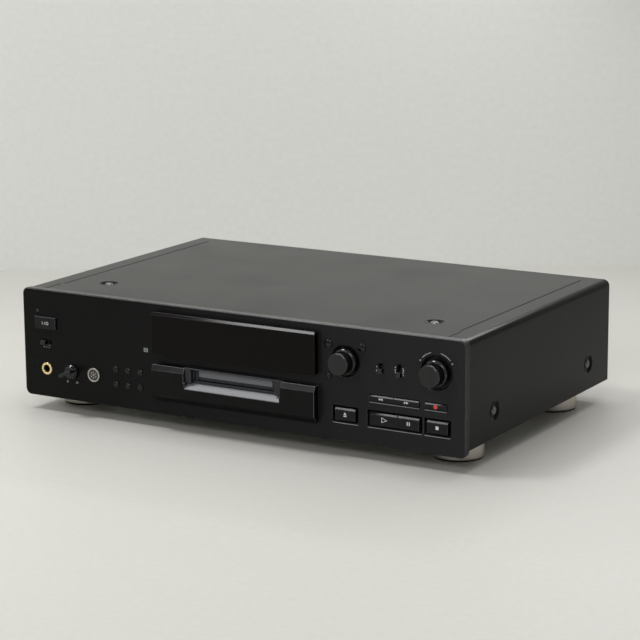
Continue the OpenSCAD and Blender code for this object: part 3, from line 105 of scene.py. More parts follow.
def buildEdgeWearAndHighlight(spec):
    group, source, result = newGroup("edgeWearAndHighlight", ["Radius", "Amount", "ChamferHighlight", "Up"], ["Mask", "Normal"])
    bevel = group.nodes.new("ShaderNodeBevel")
    bevel.samples = spec["samples"]
    group.links.new(source.outputs["Radius"], bevel.inputs["Radius"])
    geometry = group.nodes.new("ShaderNodeNewGeometry")
    dot = group.nodes.new("ShaderNodeVectorMath")
    dot.operation = "DOT_PRODUCT"
    group.links.new(bevel.outputs[0], dot.inputs[0])
    group.links.new(geometry.outputs["Normal"], dot.inputs[1])
    bent = mathNode(group, "SUBTRACT", 1.0, dot.outputs["Value"])
    strong = mathNode(group, "MULTIPLY", bent, spec["sharp"], True)
    coords = group.nodes.new("ShaderNodeTexCoord")
    noise = group.nodes.new("ShaderNodeTexNoise")
    noise.inputs["Scale"].default_value = spec["speckle"]
    group.links.new(coords.outputs["Object"], noise.inputs["Vector"])
    split = group.nodes.new("ShaderNodeSeparateXYZ")
    group.links.new(bevel.outputs[0], split.inputs[0])
    # painted highlight: edges that face up or right get more of the mask
    upward = mathNode(group, "MULTIPLY", split.outputs["Z"], spec["up"])
    sideways = mathNode(group, "MULTIPLY", split.outputs["X"], spec["right"])
    highlightFacing = mathNode(group, "ADD", mathNode(group, "ADD", upward, sideways), spec["anyway"], True)
    plain = group.nodes.new("ShaderNodeSeparateXYZ")
    group.links.new(geometry.outputs["True Normal"], plain.inputs[0])
    # painted highlight on 45 degree faces and on level faces
    slant = mathNode(group, "ABSOLUTE", mathNode(group, "ADD", plain.outputs["Y"], spec["slope"]), 0)
    chamferHighlight = mathNode(group, "SUBTRACT", 1.0, mathNode(group, "MULTIPLY", slant, spec["slopeFall"]), True)
    above = mathNode(group, "SUBTRACT", plain.outputs["Z"], spec["levelFrom"])
    level = mathNode(group, "MULTIPLY", above, spec["levelGain"], True)
    ledgeHighlights = mathNode(group, "ADD", mathNode(group, "MULTIPLY", chamferHighlight, source.outputs["ChamferHighlight"]),
                      mathNode(group, "MULTIPLY", level, source.outputs["Up"]))
    either = mathNode(group, "ADD", strong, ledgeHighlights, True)
    lit = mathNode(group, "MULTIPLY", either, highlightFacing)
    speckles = mathNode(group, "ADD", noise.outputs[0], spec["unbroken"])
    broken = mathNode(group, "MULTIPLY", lit, speckles)
    mask = mathNode(group, "MULTIPLY", broken, source.outputs["Amount"], True)
    group.links.new(mask, result.inputs["Mask"])
    group.links.new(bevel.outputs[0], result.inputs["Normal"])
    return group


# fine grain for bump, and large soft clouds for colour and gloss
grainSpec = {"detail": 3, "cloud": 14}


def buildFineGrain(spec):
    group, source, result = newGroup("fineGrain", ["Scale", "Stretch X", "Stretch Y", "Stretch Z"],
                                     ["Grain", "Cloud"])
    coords = group.nodes.new("ShaderNodeTexCoord")
    stretch = group.nodes.new("ShaderNodeCombineXYZ")
    for axis in "XYZ":
        group.links.new(source.outputs["Stretch " + axis], stretch.inputs[axis])
    scaled = group.nodes.new("ShaderNodeVectorMath")
    scaled.operation = "MULTIPLY"
    group.links.new(coords.outputs["Object"], scaled.inputs[0])
    group.links.new(stretch.outputs[0], scaled.inputs[1])
    fine = group.nodes.new("ShaderNodeTexNoise")
    fine.inputs["Detail"].default_value = spec["detail"]
    group.links.new(scaled.outputs[0], fine.inputs["Vector"])
    group.links.new(source.outputs["Scale"], fine.inputs["Scale"])
    cloud = group.nodes.new("ShaderNodeTexNoise")
    cloud.inputs["Scale"].default_value = spec["cloud"]
    group.links.new(coords.outputs["Object"], cloud.inputs["Vector"])
    group.links.new(fine.outputs[0], result.inputs["Grain"])
    group.links.new(cloud.outputs[0], result.inputs["Cloud"])
    return group


# specks of dust on faces that look up
dustSpec = {"upFrom": 0.7, "upGain": 3.3, "scale": 900, "detail": 5, "speckFrom": 0.5, "speckGain": 3.0}


def buildDustFilm(spec):
    group, source, result = newGroup("dustFilm", ["Amount"], ["Mask"])
    geometry = group.nodes.new("ShaderNodeNewGeometry")
    split = group.nodes.new("ShaderNodeSeparateXYZ")
    group.links.new(geometry.outputs["Normal"], split.inputs[0])
    above = mathNode(group, "SUBTRACT", split.outputs["Z"], spec["upFrom"], True)
    up = mathNode(group, "MULTIPLY", above, spec["upGain"], True)
    coords = group.nodes.new("ShaderNodeTexCoord")
    specks = group.nodes.new("ShaderNodeTexNoise")
    specks.inputs["Scale"].default_value = spec["scale"]
    specks.inputs["Detail"].default_value = spec["detail"]
    group.links.new(coords.outputs["Object"], specks.inputs["Vector"])
    peaks = mathNode(group, "SUBTRACT", specks.outputs[0], spec["speckFrom"], True)
    both = mathNode(group, "MULTIPLY", up, mathNode(group, "MULTIPLY", peaks, spec["speckGain"], True))
    mask = mathNode(group, "MULTIPLY", both, source.outputs["Amount"], True)
    group.links.new(mask, result.inputs["Mask"])
    return group


edgeWearAndHighlight = buildEdgeWearAndHighlight(wearAndHighlightSpec)
fineGrain = buildFineGrain(grainSpec)
dustFilm = buildDustFilm(dustSpec)


def useGroup(tree, group, values):
    node = tree.nodes.new("ShaderNodeGroup")
    node.node_tree = group
    for label, value in values.items():
        node.inputs[label].default_value = value
    return node


def mixColour(tree, mask, first, second):
    node = tree.nodes.new("ShaderNodeMix")
    node.data_type = "RGBA"
    tree.links.new(mask, node.inputs[0])
    for slot, value in ((6, first), (7, second)):
        if isinstance(value, tuple):
            node.inputs[slot].default_value = (*value, 1)
        else:
            tree.links.new(value, node.inputs[slot])
    return node.outputs[2]


# rough, metal, specular and coat are the shader's own. Grain is how fine the bump is, depth how strong,
# and stretch pulls it along an axis. Edge is how much the edges wear and take a painted highlight, over
# round millimetres, and the chamfer and up keys how much 45 degree and level faces take a painted highlight.
# Dust lies on faces that look up. Sheen is a painted reflection: where the colour starts and stops rising
# from left to right, in metres, and how many times lighter it gets.
finishSpec = {
    "casePaint": {"colour": (0.0065, 0.0065, 0.0063), "rough": 0.22, "specular": 0.085, "grain": 1500,
                  "depth": 0.06, "edge": 0.7, "wearAndHighlightColour": (0.2, 0.2, 0.2), "dust": 0.05, "round": 0.5},
    "rearPaint": {"colour": (0.022, 0.022, 0.022), "rough": 0.42, "specular": 0.4, "grain": 1500,
                  "depth": 0.12, "edge": 0.2, "wearAndHighlightColour": (0.1, 0.1, 0.1)},
    "panelFinish": {"colour": (0.0042, 0.0045, 0.0046), "rough": 0.3, "specular": 0.105, "grain": 2600,
                    "depth": 0.06, "edge": 1.5, "wearAndHighlightColour": (0.44, 0.44, 0.445), "dust": 0.03,
                    "round": 0.24, "chamferHighlight": 0.07, "up": 0.12, "paintedSheen": (-0.12, 0.22, 5.0)},
    "smokedWindow": {"colour": (0.0030, 0.0018, 0.0019), "rough": 0.1, "specular": 0.1, "grain": 900,
                     "depth": 0.01, "edge": 0.7, "wearAndHighlightColour": (0.2, 0.195, 0.195), "dust": 0.2,
                     "round": 0.6},
    "blockFinish": {"colour": (0.0038, 0.0040, 0.0042), "rough": 0.2, "specular": 0.12, "grain": 2200,
                    "depth": 0.05, "edge": 1.9, "wearAndHighlightColour": (0.42, 0.42, 0.43), "dust": 0.12,
                    "round": 0.6},
    "bezelPlastic": {"colour": (0.024, 0.0255, 0.031), "rough": 0.33, "specular": 0.26, "grain": 1800,
                     "depth": 0.08, "edge": 0.9, "wearAndHighlightColour": (0.3, 0.31, 0.34), "dust": 0.15},
    "sillPlastic": {"colour": (0.20, 0.205, 0.22), "rough": 0.4, "specular": 0.5, "grain": 1800,
                    "depth": 0.08, "edge": 0.5, "wearAndHighlightColour": (0.62, 0.63, 0.65), "dust": 0.2},
    "flapPlastic": {"colour": (0.165, 0.17, 0.184), "rough": 0.33, "specular": 0.4, "grain": 1800,
                    "depth": 0.06, "edge": 2.0, "wearAndHighlightColour": (0.7, 0.71, 0.74), "dust": 0.1,
                    "round": 0.7},
    "keyPlastic": {"colour": (0.0085, 0.009, 0.0098), "rough": 0.26, "specular": 0.19, "grain": 2400,
                   "depth": 0.05, "edge": 1.1, "wearAndHighlightColour": (0.26, 0.26, 0.27), "dust": 0.1},
    "buttonPlastic": {"colour": (0.003, 0.003, 0.0034), "rough": 0.13, "specular": 0.4, "grain": 2400,
                      "depth": 0.03, "edge": 0.7, "wearAndHighlightColour": (0.34, 0.34, 0.35), "round": 0.3},
    "knobPlastic": {"colour": (0.0060, 0.0062, 0.0076), "rough": 0.11, "specular": 0.4, "grain": 2600,
                    "depth": 0.05, "edge": 1.8, "wearAndHighlightColour": (0.3, 0.3, 0.315), "dust": 0.1,
                    "round": 0.35},
    "footMetal": {"colour": (0.60, 0.55, 0.50), "rough": 0.3, "metal": 1.0, "grain": 500, "depth": 0.06,
                  "stretch": (0.25, 0.25, 6.0), "edge": 0.4, "wearAndHighlightColour": (0.9, 0.86, 0.8), "dust": 0.1},
    "padFelt": {"colour": (0.012, 0.012, 0.012), "rough": 0.9, "grain": 2200, "depth": 0.5},
    "platedSteel": {"colour": (0.60, 0.61, 0.60), "rough": 0.34, "metal": 1.0, "grain": 700,
                    "depth": 0.05, "edge": 0.5, "wearAndHighlightColour": (0.85, 0.85, 0.85),
                    "stretch": (1.0, 0.3, 1.0)},
    "brightSteel": {"colour": (0.74, 0.74, 0.75), "rough": 0.2, "metal": 1.0, "grain": 1200,
                    "depth": 0.04, "edge": 0.4, "wearAndHighlightColour": (0.9, 0.9, 0.9),
                    "stretch": (0.3, 1.0, 1.0)},
    "blackScrew": {"colour": (0.10, 0.10, 0.10), "rough": 0.2, "metal": 0.8, "grain": 1800, "depth": 0.06,
                   "edge": 1.0, "wearAndHighlightColour": (0.6, 0.6, 0.6)},
    "goldRing": {"colour": (0.93, 0.72, 0.36), "rough": 0.16, "metal": 1.0, "grain": 1500, "depth": 0.03,
                 "edge": 0.4, "wearAndHighlightColour": (1.0, 0.9, 0.65)},
    "socketMetal": {"colour": (0.42, 0.40, 0.37), "rough": 0.24, "metal": 1.0, "grain": 1500,
                    "depth": 0.05, "edge": 0.6, "wearAndHighlightColour": (0.8, 0.79, 0.76)},
    "jackPlastic": {"colour": (0.012, 0.012, 0.012), "rough": 0.4, "grain": 2000, "depth": 0.06,
                    "edge": 0.4, "wearAndHighlightColour": (0.09, 0.09, 0.09)},
    "seamShade": {"colour": (0.004, 0.004, 0.004), "rough": 0.9, "specular": 0.0, "grain": 1500,
                  "depth": 0.1},
    "greenBoard": {"colour": (0.035, 0.16, 0.07), "rough": 0.28, "grain": 220, "depth": 0.15, "coat": 0.5,
                   "edge": 0.6, "wearAndHighlightColour": (0.35, 0.4, 0.25)},
    "brownBoard": {"colour": (0.26, 0.17, 0.07), "rough": 0.4, "grain": 240, "depth": 0.12, "edge": 0.5,
                   "wearAndHighlightColour": (0.45, 0.36, 0.2)},
    "tubeGlass": {"colour": (0.02, 0.035, 0.04), "rough": 0.08, "grain": 1200, "depth": 0.01},
    "ironLaminations": {"colour": (0.16, 0.13, 0.09), "rough": 0.45, "metal": 0.4, "grain": 420,
                        "depth": 0.4, "stretch": (0.05, 1.6, 0.05), "edge": 0.5,
                        "wearAndHighlightColour": (0.35, 0.3, 0.22)},
    "sinkAluminium": {"colour": (0.6, 0.6, 0.62), "rough": 0.36, "metal": 1.0, "grain": 600,
                      "depth": 0.08, "stretch": (1.0, 1.0, 0.1), "edge": 0.4,
                      "wearAndHighlightColour": (0.85, 0.85, 0.86)},
    "canSleeve": {"colour": (0.03, 0.03, 0.12), "rough": 0.26, "grain": 900, "depth": 0.05, "edge": 0.5,
                  "wearAndHighlightColour": (0.35, 0.35, 0.45)},
    "jackMetal": {"colour": (0.72, 0.70, 0.66), "rough": 0.18, "metal": 1.0, "grain": 1500, "depth": 0.03,
                  "edge": 0.4, "wearAndHighlightColour": (0.9, 0.9, 0.88)},
    "motorSteel": {"colour": (0.66, 0.66, 0.65), "rough": 0.3, "metal": 1.0, "grain": 900, "depth": 0.05,
                   "edge": 0.5, "wearAndHighlightColour": (0.88, 0.88, 0.88)},
    "sledPlastic": {"colour": (0.05, 0.05, 0.055), "rough": 0.45, "grain": 1400, "depth": 0.15,
                    "edge": 0.4, "wearAndHighlightColour": (0.16, 0.16, 0.17)},
    "gearPlastic": {"colour": (0.78, 0.77, 0.71), "rough": 0.4, "grain": 1400, "depth": 0.05, "edge": 0.3,
                    "wearAndHighlightColour": (0.9, 0.9, 0.86)},
    # painted highlight for the lower rims of the key wells
    "paintedRimHighlight": {"colour": (0.32, 0.32, 0.325), "rough": 0.3, "specular": 0.3, "grain": 2000,
                   "depth": 0.05, "edge": 0.8, "wearAndHighlightColour": (0.42, 0.42, 0.43), "round": 0.1},
    "printWhite": {"colour": (0.74, 0.74, 0.74), "rough": 0.55, "grain": 3000, "depth": 0.03},
    "printFaint": {"colour": (0.30, 0.30, 0.31), "rough": 0.55, "grain": 3000, "depth": 0.03},
    "printRed": {"colour": (0.75, 0.07, 0.05), "rough": 0.4, "grain": 3000, "depth": 0.03},
    "lampLens": {"colour": (0.035, 0.006, 0.005), "rough": 0.12, "grain": 1500, "depth": 0.02,
                 "coat": 0.6},
    "ringRed": {"colour": (0.5, 0.02, 0.02), "rough": 0.4, "grain": 1800, "depth": 0.05},
    "ringWhite": {"colour": (0.75, 0.75, 0.73), "rough": 0.4, "grain": 1800, "depth": 0.05},
    "ringOrange": {"colour": (0.7, 0.25, 0.03), "rough": 0.4, "grain": 1800, "depth": 0.05},
    "insertPlastic": {"colour": (0.055, 0.05, 0.045), "rough": 0.42, "grain": 1800, "depth": 0.1,
                      "edge": 0.5, "wearAndHighlightColour": (0.5, 0.47, 0.42)},
}


# what all the finishes share
commonFinish = {"dark": 0.86, "light": 1.14, "glossSpread": 0.14, "round": 0.5, "bump": 0.1 * mm,
                "dustColour": (0.34, 0.33, 0.31)}


def buildFinish(name, spec, common):
    material = bpy.data.materials.new(name)
    material.use_nodes = True
    tree = material.node_tree
    shader = tree.nodes["Principled BSDF"]
    shader.inputs["Metallic"].default_value = spec.get("metal", 0.0)
    shader.inputs["Specular IOR Level"].default_value = spec.get("specular", 0.5)
    shader.inputs["Coat Weight"].default_value = spec.get("coat", 0.0)
    stretch = spec.get("stretch", (1, 1, 1))
    grain = useGroup(tree, fineGrain, {"Scale": spec["grain"], "Stretch X": stretch[0],
                                       "Stretch Y": stretch[1], "Stretch Z": stretch[2]})
    base = spec["colour"]
    darker = tuple(c * common["dark"] for c in base)
    lighter = tuple(min(1, c * common["light"]) for c in base)
    colour = mixColour(tree, grain.outputs["Cloud"], darker, lighter)
    # painted reflection: the colour is painted lighter from left to right
    if spec.get("paintedSheen"):
        start, end, gain = spec["paintedSheen"]
        coords = tree.nodes.new("ShaderNodeTexCoord")
        split = tree.nodes.new("ShaderNodeSeparateXYZ")
        tree.links.new(coords.outputs["Object"], split.inputs[0])
        past = mathNode(tree, "SUBTRACT", split.outputs["X"], start)
        across = mathNode(tree, "MULTIPLY", past, 1 / (end - start), True)
        colour = mixColour(tree, across, colour, tuple(c * gain for c in base))
    bump = tree.nodes.new("ShaderNodeBump")
    # edge wear mixed with painted highlight on edges, 45 degree and level faces
    if spec.get("edge"):
        radius = spec.get("round", common["round"]) * mm
        wear = useGroup(tree, edgeWearAndHighlight, {"Radius": radius, "Amount": spec["edge"],
                                         "ChamferHighlight": spec.get("chamferHighlight", 0.0), "Up": spec.get("up", 0.0)})
        colour = mixColour(tree, wear.outputs["Mask"], colour, spec["wearAndHighlightColour"])
        tree.links.new(wear.outputs["Normal"], bump.inputs["Normal"])
    if spec.get("dust"):
        film = useGroup(tree, dustFilm, {"Amount": spec["dust"]})
        colour = mixColour(tree, film.outputs["Mask"], colour, common["dustColour"])
    tree.links.new(colour, shader.inputs["Base Color"])
    centred = mathNode(tree, "SUBTRACT", grain.outputs["Cloud"], 0.5)
    spread = mathNode(tree, "MULTIPLY", centred, common["glossSpread"])
    tree.links.new(mathNode(tree, "ADD", spread, spec["rough"], True), shader.inputs["Roughness"])
    bump.inputs["Strength"].default_value = spec["depth"]
    bump.inputs["Distance"].default_value = common["bump"]
    tree.links.new(grain.outputs["Grain"], bump.inputs["Height"])
    tree.links.new(bump.outputs[0], shader.inputs["Normal"])
    return material


finishes = {name: buildFinish(name, spec, commonFinish) for name, spec in finishSpec.items()}
print("stage: finishes made")

nodeFinish = {
    "casePaint": ["top_cover"],
    "rearPaint": ["rear_panel"],
    "panelFinish": ["front_panel"],
    "blockFinish": ["slot_block"],
    "smokedWindow": ["display_window"],
    "bezelPlastic": ["slot_bezel", "slot_flap"],
    "sillPlastic": ["slot_sill"],
    "keyPlastic": ["power_button", "eject_key", "play_key", "pause_key", "stop_key", "rewind_key",
                   "forward_key", "record_key"],
    "buttonPlastic": ["function_button_1", "function_button_2", "function_button_3", "function_button_4",
                      "function_button_5", "function_button_6", "menu_button", "yes_button", "clear_button"],
    "knobPlastic": ["jog_knob", "record_knob", "phones_knob", "timer_slider", "mode_slider", "input_slider"],
    "footMetal": ["feet"],
    "padFelt": ["foot_pads"],
    "platedSteel": ["chassis", "top_brace", "mech_frame", "disc_holder"],
    "brightSteel": ["guide_rods", "cam_slider", "turntable"],
    "blackScrew": ["cover_screws", "rear_screws"],
    "goldRing": ["headphone_ring"],
    "socketMetal": ["keyboard_socket"],
    "jackPlastic": ["headphone_jack", "optical_sockets", "cord_bushing"],
    "greenBoard": ["front_board", "main_board"],
    "brownBoard": ["power_board"],
    "tubeGlass": ["display_tube"],
    "ironLaminations": ["transformer"],
    "sinkAluminium": ["heat_sink"],
    "canSleeve": ["capacitors"],
    "jackMetal": ["phono_jacks"],
    "motorSteel": ["mech_motors"],
    "sledPlastic": ["pickup_sled"],
    "gearPlastic": ["sled_gear", "loading_gear", "jog_plunger"],
}
for finish, names in nodeFinish.items():
    for nodeName in names:
        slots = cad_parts[nodeName].data.materials
        slots.clear()
        slots.append(finishes[finish])
print("stage: CAD nodes finished")


# small shapes that the pieces are made of; y is the face they stand on, towards the front
def spot(x, z):
    return Vector((x * mm, 0, z * mm))


def outward(angle, radius):  # from a middle, at an angle in degrees, a radius in millimetres
    a = math.radians(angle)
    return Vector((math.cos(a), 0, math.sin(a))) * radius * mm


def lift(thickness):
    bpy.ops.object.mode_set(mode="EDIT")
    bpy.ops.mesh.select_all(action="SELECT")
    bpy.ops.mesh.extrude_region_move(TRANSFORM_OT_translate={"value": (0, -thickness, 0)})
    bpy.ops.mesh.select_all(action="SELECT")
    bpy.ops.mesh.normals_make_consistent(inside=False)
    bpy.ops.object.mode_set(mode="OBJECT")


inkThickness = 0.08 * mm
inkSink = 0.02 * mm  # how far ink starts below its face


def plate(centre, y, width, height, thickness=inkThickness, turn=0.0):
    clearPick()
    bpy.ops.mesh.primitive_plane_add(size=1, location=(centre.x, y, centre.z),
                                     rotation=(math.pi / 2, turn, 0))
    piece = bpy.context.object
    piece.scale = (width, height, 1)
    bpy.ops.object.transform_apply(location=True, rotation=True, scale=True)
    lift(thickness)
    return piece


def disc(centre, y, radius, thickness=inkThickness, corners=24, turn=0.0, hollow=0.0):
    clearPick()
    bpy.ops.mesh.primitive_circle_add(vertices=corners, radius=radius, fill_type="NGON",
                                      location=(centre.x, y, centre.z), rotation=(math.pi / 2, turn, 0))
    piece = bpy.context.object
    bpy.ops.object.transform_apply(location=True, rotation=True, scale=True)
    if hollow:
        bpy.ops.object.mode_set(mode="EDIT")
        bpy.ops.mesh.select_all(action="SELECT")
        bpy.ops.mesh.inset(thickness=hollow)
        bpy.ops.mesh.delete(type="FACE")
        bpy.ops.object.mode_set(mode="OBJECT")
    lift(thickness)
    return piece


def band(centre, y, radius, width, start, end, steps):
    clearPick()
    angle = math.radians(start)
    place = (centre.x + radius * math.cos(angle), y, centre.z + radius * math.sin(angle))
    bpy.ops.mesh.primitive_plane_add(size=1, location=place, rotation=(math.pi / 2, -angle, 0))
    piece = bpy.context.object
    piece.scale = (width, inkSink, 1)
    bpy.ops.object.transform_apply(location=True, rotation=True, scale=True)
    bpy.ops.object.mode_set(mode="EDIT")
    bpy.ops.mesh.select_mode(type="EDGE")
    bpy.ops.mesh.select_all(action="DESELECT")
    bpy.ops.object.mode_set(mode="OBJECT")
    ahead = Vector((-math.sin(angle), 0, math.cos(angle)))
    middle = Vector(place)
    for edge in piece.data.edges:
        ends = [piece.data.vertices[v].co for v in edge.vertices]
        edge.select = all((co - middle).dot(ahead) > 0 for co in ends)
    for vertex in piece.data.vertices:
        vertex.select = (vertex.co - middle).dot(ahead) > 0
    bpy.ops.object.mode_set(mode="EDIT")
    bpy.ops.mesh.spin(steps=steps, angle=math.radians(end - start), center=(centre.x, y, centre.z),
                      axis=(0, 1, 0))
    bpy.ops.object.mode_set(mode="OBJECT")
    lift(inkThickness)
    return piece


def words(text, centre, y, height):
    clearPick()
    bpy.ops.object.text_add(location=(centre.x, y, centre.z), rotation=(math.pi / 2, 0, 0))
    piece = bpy.context.object
    piece.data.body = text
    piece.data.size = height
    piece.data.align_x = "CENTER"
    piece.data.align_y = "CENTER"
    bpy.ops.object.convert(target="MESH")
    bpy.ops.object.transform_apply(location=True, rotation=True, scale=True)
    lift(inkThickness)
    return piece


def joinPieces(name, parts, finish, body):
    clearPick()
    for part in parts:
        part.select_set(True)
    bpy.context.view_layer.objects.active = parts[0]
    if len(parts) > 1:
        bpy.ops.object.join()
    piece = bpy.context.object
    piece.name = name
    piece.data.name = name
    piece.data.materials.clear()
    piece.data.materials.append(finishes[finish])
    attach(piece, body)


def middleOf(node):
    low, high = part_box(node)
    return (low + high) / 2


def faceOf(node):
    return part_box(node)[0].y


# symbols on the keys, in millimetres from each key's middle
keySpec = {"play": {"radius": 2.6, "line": 0.38, "stretch": 1.35}, "pause": {"bar": (0.9, 3.0), "gap": 1.8},
           "stop": (2.52, 2.8), "eject": {"radius": 1.7, "up": 0.5, "bar": (2.9, 0.7), "down": 1.3},
           "arrow": {"radius": 1.25, "apart": 0.82}, "dot": 1.75,
           "power": {"apart": 2.5, "one": (0.45, 2.6), "slash": (0.4, 3.0), "lean": 25, "ring": 1.35,
                     "line": 0.42}}
pointRight = -math.pi / 6  # turns a three-cornered disc
pointLeft = pointRight + math.pi / 3


def keySymbols(spec):
    def face(key):
        return faceOf(key) + inkSink

    def across(shift):
        return Vector((shift * mm, 0, 0))

    play, c, y = spec["play"], middleOf("play_key"), face("play_key")
    outline = disc(c, y, play["radius"] * mm, corners=3, turn=pointRight, hollow=play["line"] * mm)
    bpy.ops.object.mode_set(mode="EDIT")
    bpy.ops.mesh.select_all(action="SELECT")
    bpy.ops.transform.resize(value=(play["stretch"], 1, 1), center_override=(c.x, y, c.z))
    bpy.ops.object.mode_set(mode="OBJECT")
    joinPieces("playSymbol", [outline], "printWhite", "play_key")

    pause, c, y = spec["pause"], middleOf("pause_key"), face("pause_key")
    bars = [plate(c + across(s * pause["gap"] / 2), y, pause["bar"][0] * mm, pause["bar"][1] * mm)
            for s in (-1, 1)]
    joinPieces("pauseSymbol", bars, "printWhite", "pause_key")

    width, height = spec["stop"]
    square = plate(middleOf("stop_key"), face("stop_key"), width * mm, height * mm)
    joinPieces("stopSymbol", [square], "printWhite", "stop_key")

    eject, c, y = spec["eject"], middleOf("eject_key"), face("eject_key")
    parts = [disc(c + Vector((0, 0, eject["up"] * mm)), y, eject["radius"] * mm, corners=3),
             plate(c - Vector((0, 0, eject["down"] * mm)), y, eject["bar"][0] * mm, eject["bar"][1] * mm)]
    joinPieces("ejectSymbol", parts, "printWhite", "eject_key")

    arrow = spec["arrow"]
    for name, turn in (("rewind", pointLeft), ("forward", pointRight)):
        key = name + "_key"
        arrows = [disc(middleOf(key) + across(s * arrow["radius"] * arrow["apart"]), face(key),
                       arrow["radius"] * mm, corners=3, turn=turn) for s in (-1, 1)]
        joinPieces(name + "Symbol", arrows, "printWhite", key)

    dot = disc(middleOf("record_key"), face("record_key"), spec["dot"] * mm)
    joinPieces("recordDot", [dot], "printRed", "record_key")

    power, c, y = spec["power"], middleOf("power_button"), face("power_button")
    parts = [plate(c - across(power["apart"]), y, power["one"][0] * mm, power["one"][1] * mm),
             plate(c, y, power["slash"][0] * mm, power["slash"][1] * mm, turn=math.radians(power["lean"])),
             disc(c + across(power["apart"]), y, power["ring"] * mm, hollow=power["line"] * mm)]
    joinPieces("powerSymbol", parts, "printWhite", "power_button")


keySymbols(keySpec)
print("stage: key symbols")

# marks printed on the panel: millimetres on its face, and degrees round a knob
markSpec = {"arc": {"radius": 16.8, "width": 0.32, "spans": [(137.6, 105.7), (76.5, 42.6)],
                    "steps": 24, "ends": [147.0, 33.3], "dot": 0.5},
            "phones": {"radius": 10.4, "height": 2.5, "numbers": (("0", -118), ("10", -62))},
            "dot": 0.42, "dots": [(135.5, 78.0), (135.5, 74.9), (152.4, 79.3), (152.4, 77.35), (152.4, 75.4)],
            "ticks": {"x": 159.3, "z": (79.0, 77.1, 75.2), "size": (1.3, 0.3)},
            "bracket": {"at": (159.9, 77.1), "size": (0.3, 4.1)}, "lastDot": (159.6, 73.5),
            "timer": {"x": (-193.2, -190.6, -188.0), "z": 56.9, "radius": 0.5}}
sensorSpec = {"at": (-86.4, 66.1), "size": (4.1, 3.4), "lines": (-0.7, 0.1, 0.9), "line": (2.4, 0.45),
              "out": 0.09}


def panelMarks(spec):
    y = frontY + inkSink
    arc, c = spec["arc"], middleOf("record_knob")
    parts = [band(c, y, arc["radius"] * mm, arc["width"] * mm, start, end, arc["steps"])
             for start, end in arc["spans"]]
    parts += [disc(c + outward(angle, arc["radius"]), y, arc["dot"] * mm) for angle in arc["ends"]]
    phones, c = spec["phones"], middleOf("phones_knob")
    parts += [words(label, c + outward(angle, phones["radius"]), y, phones["height"] * mm)
              for label, angle in phones["numbers"]]
    parts += [disc(spot(x, z), y, spec["dot"] * mm) for x, z in spec["dots"]]
    ticks, bracket, timer = spec["ticks"], spec["bracket"], spec["timer"]
    parts += [plate(spot(ticks["x"], z), y, ticks["size"][0] * mm, ticks["size"][1] * mm) for z in ticks["z"]]
    parts.append(plate(spot(*bracket["at"]), y, bracket["size"][0] * mm, bracket["size"][1] * mm))
    parts.append(disc(spot(*spec["lastDot"]), y, spec["dot"] * mm))
    parts += [disc(spot(x, timer["z"]), y, timer["radius"] * mm, corners=3) for x in timer["x"]]
    joinPieces("panelMarks", parts, "printWhite", "case")


def sensorMark(spec):
    y = frontY + inkSink
    middle = spot(*spec["at"])
    width, height = spec["size"]
    joinPieces("sensorPlate", [plate(middle, y, width * mm, height * mm)], "printFaint", "case")
    lines = [plate(middle + Vector((0, 0, z * mm)), y - spec["out"] * mm, spec["line"][0] * mm,
                   spec["line"][1] * mm) for z in spec["lines"]]
    joinPieces("sensorLines", lines, "panelFinish", "case")


panelMarks(markSpec)
sensorMark(sensorSpec)
print("stage: panel marks")

smoothAngle = math.radians(35)


def rounded(piece, width, segments):
    modifier = piece.modifiers.new("round", "BEVEL")
    modifier.width = width
    modifier.segments = segments
    modifier.limit_method = "ANGLE"
    clearPick()
    bpy.context.view_layer.objects.active = piece
    piece.select_set(True)
    bpy.ops.object.modifier_apply(modifier="round")
    bpy.ops.object.shade_smooth_by_angle(angle=smoothAngle)
    return piece


# painted shade over the seams of the lid: dark strips that stand for the shade in the seam grooves. In
# millimetres: distance from the middle, start and end behind the panel's face
seamSpec = {"far": (193.5, 32, 259), "near": (195.5, 5, 29), "width": 0.75, "top": 107.03, "thick": 0.05}


def paintedSeamShade(spec):
    parts = []
    for side in (-1, 1):
        for x, start, end in (spec["far"], spec["near"]):
            clearPick()
            middle = frontY + (start + end) / 2 * mm
            bpy.ops.mesh.primitive_plane_add(size=1, location=(side * x * mm, middle, spec["top"] * mm))
            strip = bpy.context.object
            strip.scale = (spec["width"] * mm, (end - start) * mm, 1)
            bpy.ops.object.transform_apply(location=True, rotation=True, scale=True)
            bpy.ops.object.mode_set(mode="EDIT")
            bpy.ops.mesh.select_all(action="SELECT")
            bpy.ops.mesh.extrude_region_move(TRANSFORM_OT_translate={"value": (0, 0, spec["thick"] * mm)})
            bpy.ops.mesh.select_all(action="SELECT")
            bpy.ops.mesh.normals_make_consistent(inside=False)
            bpy.ops.object.mode_set(mode="OBJECT")
            parts.append(strip)
    joinPieces("paintedSeamShade", parts, "seamShade", "case")


paintedSeamShade(seamSpec)
print("stage: seams")

# painted highlight on the lower rims of the key wells, light strips where the rims catch the light: first and
# last key of a row, and the gaps beside and below them
lipHighlightSpec = {"rows": (("eject_key", "eject_key", 2.8, 1.9), ("play_key", "pause_key", 2.8, 1.9),
                    ("stop_key", "stop_key", 2.8, 1.9), ("rewind_key", "forward_key", 0.75, 0.75),
                    ("record_key", "record_key", 0.75, 0.75)),
           "tall": 0.5, "corner": 0.6, "thick": 0.14, "round": 0.06}


def wellLipHighlights(spec):
    parts = []
    for first, last, side, below in spec["rows"]:
        low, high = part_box(first)[0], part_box(last)[1]
        centre = Vector(((low.x + high.x) / 2, 0, low.z - (below + spec["tall"] / 2) * mm))
        width = high.x - low.x + 2 * (side - spec["corner"]) * mm
        strip = plate(centre, frontY, width, spec["tall"] * mm, spec["thick"] * mm)
        parts.append(rounded(strip, spec["round"] * mm, 2))
    joinPieces("wellLipHighlights", parts, "paintedRimHighlight", "case")


